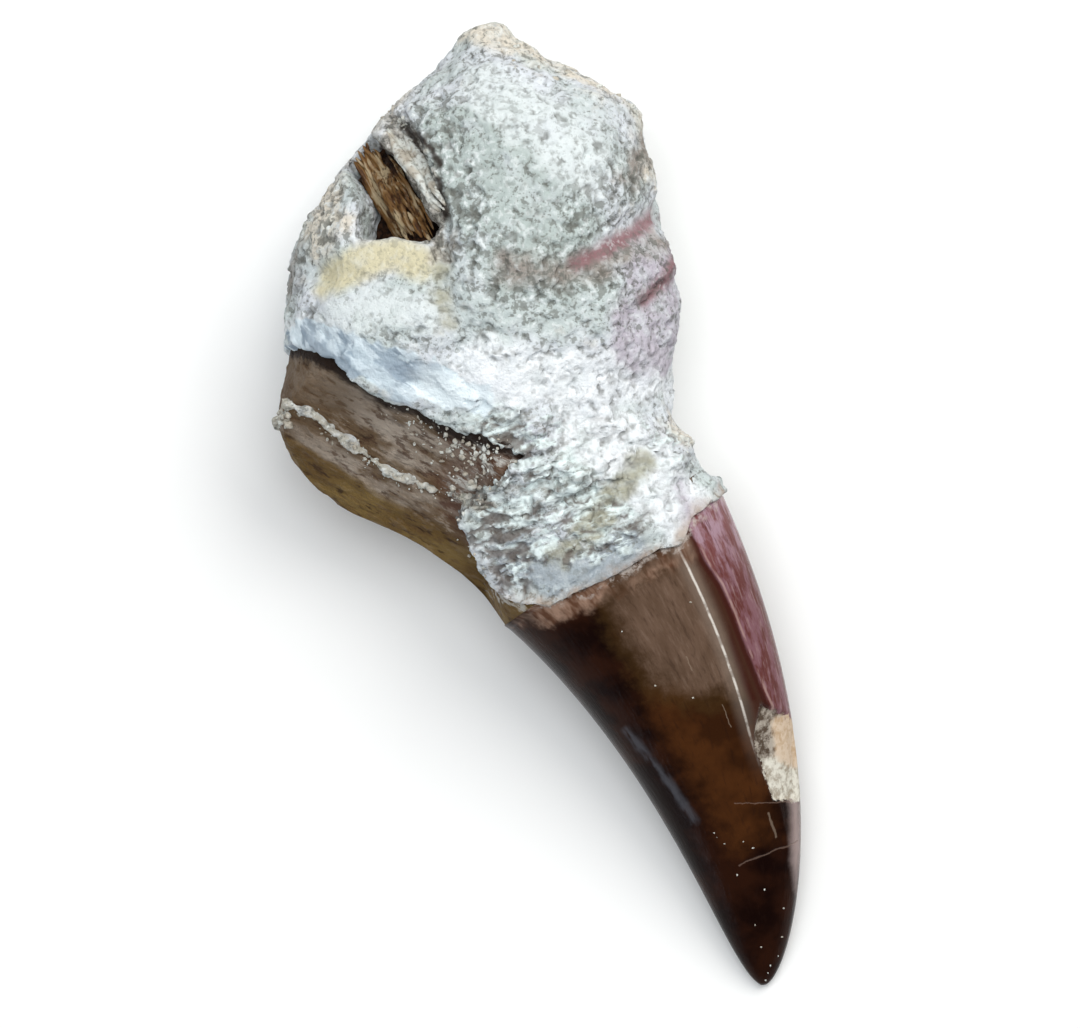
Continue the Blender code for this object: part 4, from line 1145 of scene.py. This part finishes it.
def rock_material():
    """Pale sandy rock: mottled grey-white, pitted, stained in patches."""
    s = Shader("sandy_rock")
    large, middle = s.noise(6.0, seed=1), s.noise(1.8, seed=2)
    fine, finer = s.noise(0.75, 3.0, 0.6, seed=3), s.noise(0.42, 2.0, 0.6, seed=5)
    layers = s.noise(0.70, 3.0, 0.6, seed=6, stretch=(3.2, 1.0, 2.0), place=s.turned(20.0))
    flaky = s.mask("flaky") * (1.0 - s.mask("smooth"))
    pitted, brown = s.mask("pitted"), s.mask("brown")
    patchy, even = middle.span(0.3, 0.6) * 0.5 + 0.45, middle.span(0.3, 0.5) * 0.2 + 0.75
    wall = s.mix(fine.span(0.35, 0.65), (0.20, 0.17, 0.14), (0.62, 0.58, 0.50))
    colour = s.mix(large.span(0.36, 0.64), (0.52, 0.58, 0.57), (0.64, 0.67, 0.71))
    colour = s.coated(colour, [
        (middle.span(0.55, 0.75) * 0.5, (0.50, 0.47, 0.42)),
        *((s.mask(name) * patchy, tint) for name, tint in ROCK_TINTS.items()),
        *((s.mask(name) * even, tint) for name, tint in EVEN_TINTS.items()),
        (s.mask("layers") * 0.8, wall),
    ])

    calm = 1.0 - either(*(s.mask(name) * share for name, share in CALM.items()))
    dark = fine + either(pitted, brown) * -0.045 + (middle - 0.46) * 0.22
    shade = either(dark.span(0.445, 0.385), finer.span(0.41, 0.33) * 0.85)
    bright = fine.span(0.54, 0.66) * calm * (1.0 - brown * 0.6) * (pitted * 0.3 + 0.40)
    where = s.wandering(1.6, 1.2, 8)
    # The broken planes: pale bluish stone with painted light and shade. Each plane is lighter or darker
    # by its lean, with painted highlight lines and darker lines along them, and painted bluish shade
    # towards the left.
    sheen = s.noise(1.2, 3.0, 0.5, seed=7, stretch=(4.0, 1.0, 1.0), place=s.turned(-38.0))
    slab = s.mix(s.mask("plane_shade").span(0.10, 0.80), (0.24, 0.31, 0.38), (0.70, 0.81, 0.86))
    slab = s.coated(slab, [
        (sheen.span(0.50, 0.60) * 0.85, (0.80, 0.90, 0.95)),
        (sheen.span(0.46, 0.38) * 0.5, (0.28, 0.33, 0.38)),
        (s.line(FACETS_BLUE_SHADE, 1.5, where, 0.7) * 0.4, (0.34, 0.42, 0.50)),
        (s.line(FACETS_PALE, 1.9, where, 0.7) * 0.7, (0.78, 0.86, 0.89)),
    ])
    colour = s.coated(colour, [
        (shade * calm * 0.68, (0.15, 0.155, 0.135)),
        (bright, (0.80, 0.84, 0.84)),
        (layers.span(0.47, 0.58) * flaky * 0.85, (0.80, 0.90, 0.89)),
        (layers.span(0.43, 0.34) * flaky * 0.55, (0.26, 0.25, 0.22)),
        (s.mask("olive") * middle.span(0.3, 0.5) * 0.6, (0.35, 0.34, 0.25)),
        # Painted shade in holes, pores and behind flake fronts, and the dark seams between layers.
        (s.mask("hollow_shade") * 0.62, (0.090, 0.085, 0.070)),
        (s.mask("tears") * 0.8, (0.110, 0.085, 0.070)),
        (s.lines(SEAMS, where, 0.8) * 0.9, (0.030, 0.020, 0.015)),
        (s.mask("facets").span(0.1, 0.7) * 0.9, slab),
        (s.mask("stain") * (middle.span(0.4, 0.6) * 0.5 + 0.25), (0.36, 0.26, 0.19)),
    ])
    return s.finish(colour, 0.92, fine + (finer * 0.7 + layers * flaky), 0.20)


def crumb_material():
    """Loose grains of the rock."""
    s = Shader("pale_grains")
    middle, fine = s.noise(1.6, 2.0, seed=41), s.noise(0.4, 2.0, seed=42)
    colour = s.mix(middle.span(0.38, 0.62), (0.66, 0.68, 0.64), (0.46, 0.42, 0.35))
    colour = s.mix(fine.span(0.5, 0.36) * 0.6, colour, (0.22, 0.19, 0.15))
    return s.finish(colour, 0.9, fine, 0.10)


def splinter_material():
    """Brown fibres, with painted light on their tops and painted shade, nearly black, underneath and
    between them.
    """
    s = Shader("fibrous_bone")
    along = s.turned(-60.0)
    streaks = s.noise(0.35, 3.0, 0.6, seed=51, stretch=(7.0, 1.0, 1.0), place=along)
    ridges = s.noise(1.1, seed=53, stretch=(3.6, 1.0, 1.0), place=along)
    # Painted light on the tops of the splinters and painted shade under them, broken up by noise.
    crest = s.mask("crest") + (ridges - 0.5) * 5.0
    colour = s.mix(crest.span(-0.6, 0.5), (0.030, 0.010, 0.004), (0.170, 0.085, 0.026))
    colour = s.coated(colour, [
        (crest.span(0.7, 1.5) * 0.85, (0.44, 0.35, 0.22)),
        (ridges.span(0.46, 0.38) * 0.8, (0.060, 0.022, 0.007)),
        (streaks.span(0.48, 0.36) * 0.8, (0.025, 0.008, 0.003)),
        (streaks.span(0.56, 0.70) * 0.35, (0.55, 0.47, 0.34)),
    ])
    return s.finish(colour, 0.6, streaks, 0.12, gloss=0.2)


# Cracks and scratches in the enamel: bent lines and half widths.
CRACKS = [([(17.5, -26.6), (22.6, -26.5)], 0.05), ([(18.0, -32.3), (20.2, -31.4), (23.4, -30.2)], 0.07)]
SCRATCHES = [([(20.7, -27.5), (21.4, -29.8)], 0.10), ([(16.4, -17.6), (17.1, -19.6)], 0.05),
             ([(13.0, -13.2), (13.6, -14.4)], 0.05)]
# A soft bluish painted reflection: a streak of highlight on the crown's left part.
PAINTED_REFLECTION_STREAK = [(7.8, -20.0), (9.9, -22.6), (12.0, -25.2), (14.0, -28.2)]


def enamel_material():
    """Dark brown enamel, glossy, with a purple side, a painted sheen, a painted reflection streak,
    striations, cracks and a chip.
    """
    s = Shader("enamel")
    grown = s.mask("grown", "Vector")
    streaks = s.noise(0.34, 3.0, 0.6, seed=11, stretch=(1.0, 1.0, 22.0), place=grown)
    bands = s.noise(1.3, 3.0, 0.6, seed=14, stretch=(1.0, 1.0, 3.0), place=grown)
    blotch = s.noise(1.1, 4.0, 0.65, seed=25, stretch=(1.0, 1.0, 2.2), place=grown)
    cloud, fine = s.noise(4.2, seed=12), s.noise(0.35, 3.0, 0.6, seed=13)
    wander = (s.noise(1.6, 4.0, 0.65, seed=15) - 0.5) * 2.4
    where = s.wandering(1.2, 0.5, 16)
    on_top, u, carina = s.mask("on_top"), s.mask("u"), s.mask("carina")
    purple = s.mask("purple")

    def zone(name, spread, low, high):
        """1 inside a zone whose edge wanders."""
        return (s.mask(name) + wander * spread).span(low, high)

    # Brown and black, amber further down, a pale painted sheen above with an olive edge.
    # The share of the painted sheen, which also makes the enamel rougher there.
    painted_sheen = zone("painted_sheen", 1.5, -1.2, 1.6) * (bands.span(0.3, 0.7) * 0.38 + 0.62)
    beyond = carina.span(0.3, 1.0) * on_top * u.span(0.50, 0.42)
    colour = s.mix(cloud.span(0.38, 0.66), (0.006, 0.0012, 0.0005), (0.022, 0.0060, 0.0022))
    colour = s.coated(colour, [
        (zone("amber", 1.5, -1.6, 1.8) * (cloud.span(0.36, 0.60) * 0.55 + 0.45), (0.062, 0.020, 0.005)),
        (zone("painted_sheen", 1.5, -2.6, -0.8) * on_top * 0.6, (0.052, 0.026, 0.008)),
        (painted_sheen, (0.134, 0.082, 0.055)),
        (streaks.span(0.50, 0.72) * painted_sheen * 0.45, (0.20, 0.135, 0.10)),
        (streaks.span(0.46, 0.30) * 0.35, (0.014, 0.005, 0.003)),
        (beyond * 0.85, (0.055, 0.020, 0.012)),
        (zone("dark_red", 0.2, -0.2, 0.5), (0.038, 0.006, 0.003)),
    ])

    # The purple side, paler towards the neck, with its rim and the pale strip below the chip.
    violet = s.mix(blotch.span(0.40, 0.60), (0.118, 0.034, 0.030), (0.200, 0.092, 0.108))
    pale = s.mix(blotch.span(0.38, 0.60), (0.20, 0.075, 0.075), (0.38, 0.25, 0.30))
    violet = s.coated(violet, [
        (u.span(0.22, 0.03), pale),
        (streaks.span(0.54, 0.68) * 0.35, (0.40, 0.27, 0.26)),
        (streaks.span(0.44, 0.32) * 0.6, (0.085, 0.020, 0.016)),
    ])
    rim = abs(purple - 0.30).span(0.16, 0.04) * bands.span(0.40, 0.52) * on_top
    edge = abs(purple + 0.12).span(0.40, 0.12) * on_top

    # The worn line beside the cutting edge, then a painted reflection streak, cracks and scratches.
    from_line = abs(carina + wander * 0.05)
    worn = s.noise(1.1, 3.0, 0.6, seed=20).span(0.38, 0.52)
    strength = u.span(0.02, 0.09) * u.span(0.56, 0.34) * (worn * 0.65 + 0.35)
    cracks = s.lines(CRACKS, where)
    colour = s.coated(colour, [
        (zone("purple", 0.15, -0.10, 0.12), violet),
        (rim * 0.6, (0.42, 0.28, 0.25)),
        (edge * 0.8, (0.045, 0.009, 0.006)),
        (zone("pale_strip", 0.25, -0.5, 0.6) * 0.80, (0.42, 0.32, 0.30)),
        (from_line.span(1.30, 0.05) * u.span(0.60, 0.30) * on_top * 0.45, (0.26, 0.20, 0.16)),
        (from_line.span(0.17, 0.03) * strength * on_top * 0.85, (0.74, 0.69, 0.62)),
        # The painted reflection: a soft bluish streak of highlight.
        (s.line(PAINTED_REFLECTION_STREAK, 0.34, where, 1.0) * bands.span(0.40, 0.60) * on_top * 0.65,
         (0.080, 0.080, 0.092)),
        (cracks * on_top * 0.45, (0.20, 0.13, 0.10)),
        (s.lines(SCRATCHES, where) * on_top * 0.4, (0.30, 0.23, 0.17)),
    ])

    # The chip: dark rubble, a peach part and a pale one.
    ragged = (s.noise(0.9, 4.0, 0.7, seed=17) - 0.5) * 1.8
    chip = (s.mask("chip").at_least(s.mask("chip_side")) + ragged).span(-0.05, 0.15)
    grit = s.noise(0.8, 3.0, 0.65, seed=19)
    rubble = s.mix(grit.span(0.38, 0.62), (0.085, 0.060, 0.042), (0.42, 0.37, 0.31))
    peach = s.mix(grit.span(0.30, 0.60), (0.50, 0.35, 0.22), (0.66, 0.53, 0.40))
    chalky = s.mix(grit.span(0.36, 0.60), (0.38, 0.33, 0.26), (0.72, 0.69, 0.60))
    broken = s.coated(rubble, [
        ((s.mask("peach") + ragged * 0.5).span(-0.3, 0.4), peach),
        ((s.mask("chip_pale") + ragged * 0.8).span(-0.4, 0.4), chalky),
    ])

    # The stained band and the dust along the crust.
    near = (s.noise(1.5, 4.0, 0.6, seed=18) - 0.5) * 2.6 - s.mask("from_crust")
    stain = s.mix(bands.span(0.38, 0.62), (0.11, 0.050, 0.028), (0.33, 0.21, 0.15))
    stained = near.span(-2.2, -0.9) * carina.span(1.8, 0.2) * (cloud.span(0.40, 0.58) * 0.7 + 0.25)
    colour = s.coated(colour, [
        (chip, broken),
        (stained, stain),
        (near.span(-0.9, 0.1) * grit.span(0.44, 0.62) * 0.7, (0.56, 0.50, 0.45)),
    ])
    height = streaks * 0.5 + (fine * (chip + 0.04) - cracks * 0.4)
    return s.finish(colour, (chip * 0.5 + painted_sheen * 0.22) + 0.20, height, 0.07, gloss=0.06)


LEFT_END = [(-23.0, 11.6), (-19.6, 9.8)]   # where the bare bone is darkest


def bone_material():
    """Bare brown bone: purple-grey above, olive-brown and streaked dark below."""
    s = Shader("bone")
    along = s.turned(-31.0)
    streaks = s.noise(0.60, 4.0, 0.65, seed=21, stretch=(3.6, 1.0, 2.0), place=along)
    cloud = s.noise(2.4, seed=23, stretch=(2.2, 1.0, 1.0), place=along)
    grit = s.noise(0.8, 4.0, 0.65, seed=24, stretch=(2.4, 1.0, 1.0), place=along)
    fine = s.noise(0.45, 3.0, 0.6, seed=22)
    from_crumbs = s.mask("from_crumbs")
    band = (s.mask("lower_band") + cloud * 1.4).span(1.2, 0.2)
    upper = s.mix(cloud.span(0.38, 0.62), (0.125, 0.080, 0.044), (0.345, 0.290, 0.235))
    lower = s.mix(cloud.span(0.36, 0.64), (0.105, 0.060, 0.018), (0.170, 0.108, 0.034))
    light = either(grit.span(0.54, 0.66), streaks.span(0.58, 0.70)) * (1.0 - band * 0.8)
    dust = (from_crumbs + streaks * 5.0).span(3.4, 2.4) * grit.span(0.44, 0.54)
    left_end = s.line(LEFT_END, 3.6, s.place, 0.9) * cloud.span(0.3, 0.5)
    # Painted shade, near black, for the bone deep in the pit.
    pit = s.mix(fine.span(0.40, 0.60), (0.008, 0.003, 0.0015), (0.040, 0.016, 0.006))
    colour = s.coated(s.mix(band, upper, lower), [
        (grit.span(0.47, 0.37) * (0.75 - band * 0.4), (0.065, 0.032, 0.018)),
        (streaks.span(0.44, 0.33) * (band * 0.30 + 0.45), (0.026, 0.010, 0.004)),
        (light * 0.42, (0.44, 0.37, 0.30)),
        ((from_crumbs + grit * 3.0).span(4.6, 2.6) * 0.6 * (1.0 - band), (0.085, 0.036, 0.022)),
        (dust * 0.75, (0.55, 0.54, 0.50)),
        (left_end * 0.75, (0.100, 0.058, 0.026)),
        # Painted shadow, near black, cast by the crust's ledge on the bone below it.
        ((s.mask("from_ledge") + grit * 1.6).span(1.9, 1.1) * 0.95, (0.010, 0.004, 0.002)),
        (s.mask("in_pit"), pit),
    ])
    return s.finish(colour, 0.66, fine + (streaks + grit * 1.2), 0.25, gloss=0.15)


# ---------------------------------------------------------------- stage, light and camera

VIEW_CENTRE = (0.22, -0.45)    # of the picture, in the frame's millimetres
VIEW_WIDTH = 97.2
VIEW_LEVEL = 12.0              # height at which the picture is that wide
LENS, SENSOR = 200.0, 36.0
CLIP = (0.01, 10.0)            # metres
FLOOR_SIZE = 4.0               # metres
PAPER_COLOUR, PAPER_ROUGHNESS = (0.92, 0.92, 0.91), 0.9
AIM_HEIGHT = 10.0              # of what the lamps face
# Each lamp: place and size in millimetres, power and colour.
LAMPS = {
    "key": ((190.0, 260.0, 440.0), (320.0, 320.0), 1.75, (1.0, 0.98, 0.95)),
    "over": ((-60.0, 80.0, 520.0), (300.0, 300.0), 1.45, (0.97, 0.99, 1.0)),
    "streak": ((-170.0, -250.0, 70.0), (60.0, 60.0), 0.10, (0.80, 0.88, 1.0)),
}
WORLD_COLOUR, WORLD_STRENGTH = (0.93, 0.96, 1.0), 0.33


def add_camera():
    """The camera, straight above the fossil as in the photo."""
    data = bpy.data.cameras.new("camera")
    data.lens, data.sensor_width = LENS, SENSOR
    camera = add_object("camera", data)
    height = VIEW_LEVEL + VIEW_WIDTH * LENS / SENSOR
    camera.location = (VIEW_CENTRE[0] * MM, VIEW_CENTRE[1] * MM, height * MM)
    data.clip_start, data.clip_end = CLIP
    bpy.context.scene.camera = camera


def add_lamp(name, place, size, power, colour):
    """A flat lamp that faces the fossil."""
    data = bpy.data.lights.new(name, "AREA")
    data.shape = "RECTANGLE"
    data.size, data.size_y = size[0] * MM, size[1] * MM
    data.energy, data.color = power, colour
    lamp = add_object(name, data)
    lamp.location = Vector(place) * MM
    aim = Vector((0.0, 0.0, AIM_HEIGHT * MM)) - lamp.location
    lamp.rotation_euler = aim.to_track_quat("-Z", "Y").to_euler()


def add_stage():
    """The pale floor, and the even light of the room."""
    bm = bmesh.new()
    bmesh.ops.create_grid(bm, x_segments=1, y_segments=1, size=FLOOR_SIZE / 2)
    mesh = bpy.data.meshes.new("floor")
    bm.to_mesh(mesh)
    bm.free()
    floor = add_object("floor", mesh)
    paper = bpy.data.materials.new("pale_paper")
    paper.use_nodes = True
    surface = paper.node_tree.nodes["Principled BSDF"]
    surface.inputs["Base Color"].default_value = (*PAPER_COLOUR, 1.0)
    surface.inputs["Roughness"].default_value = PAPER_ROUGHNESS
    mesh.materials.append(paper)
    world = bpy.data.worlds.new("room")
    bpy.context.scene.world = world
    world.use_nodes = True
    background = world.node_tree.nodes["Background"]
    background.inputs["Color"].default_value = (*WORLD_COLOUR, 1.0)
    background.inputs["Strength"].default_value = WORLD_STRENGTH
    bpy.context.scene.view_settings.view_transform = "Standard"


crust = make_crust()
tooth = make_tooth()
ground = Ground(crust, tooth)
crumbs = make_crumbs(ground)
splinters = make_splinters(Ground(tooth))
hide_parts("matrix")
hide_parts("tooth")
for piece, slot in [(crust, "sandy_rock"), (crumbs, "sandy_rock"), (tooth, "enamel_and_bone"),
                    (splinters, "enamel_and_bone")]:
    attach(piece, "root")
add_camera()
add_stage()
for name, settings in LAMPS.items():
    add_lamp(name, *settings)
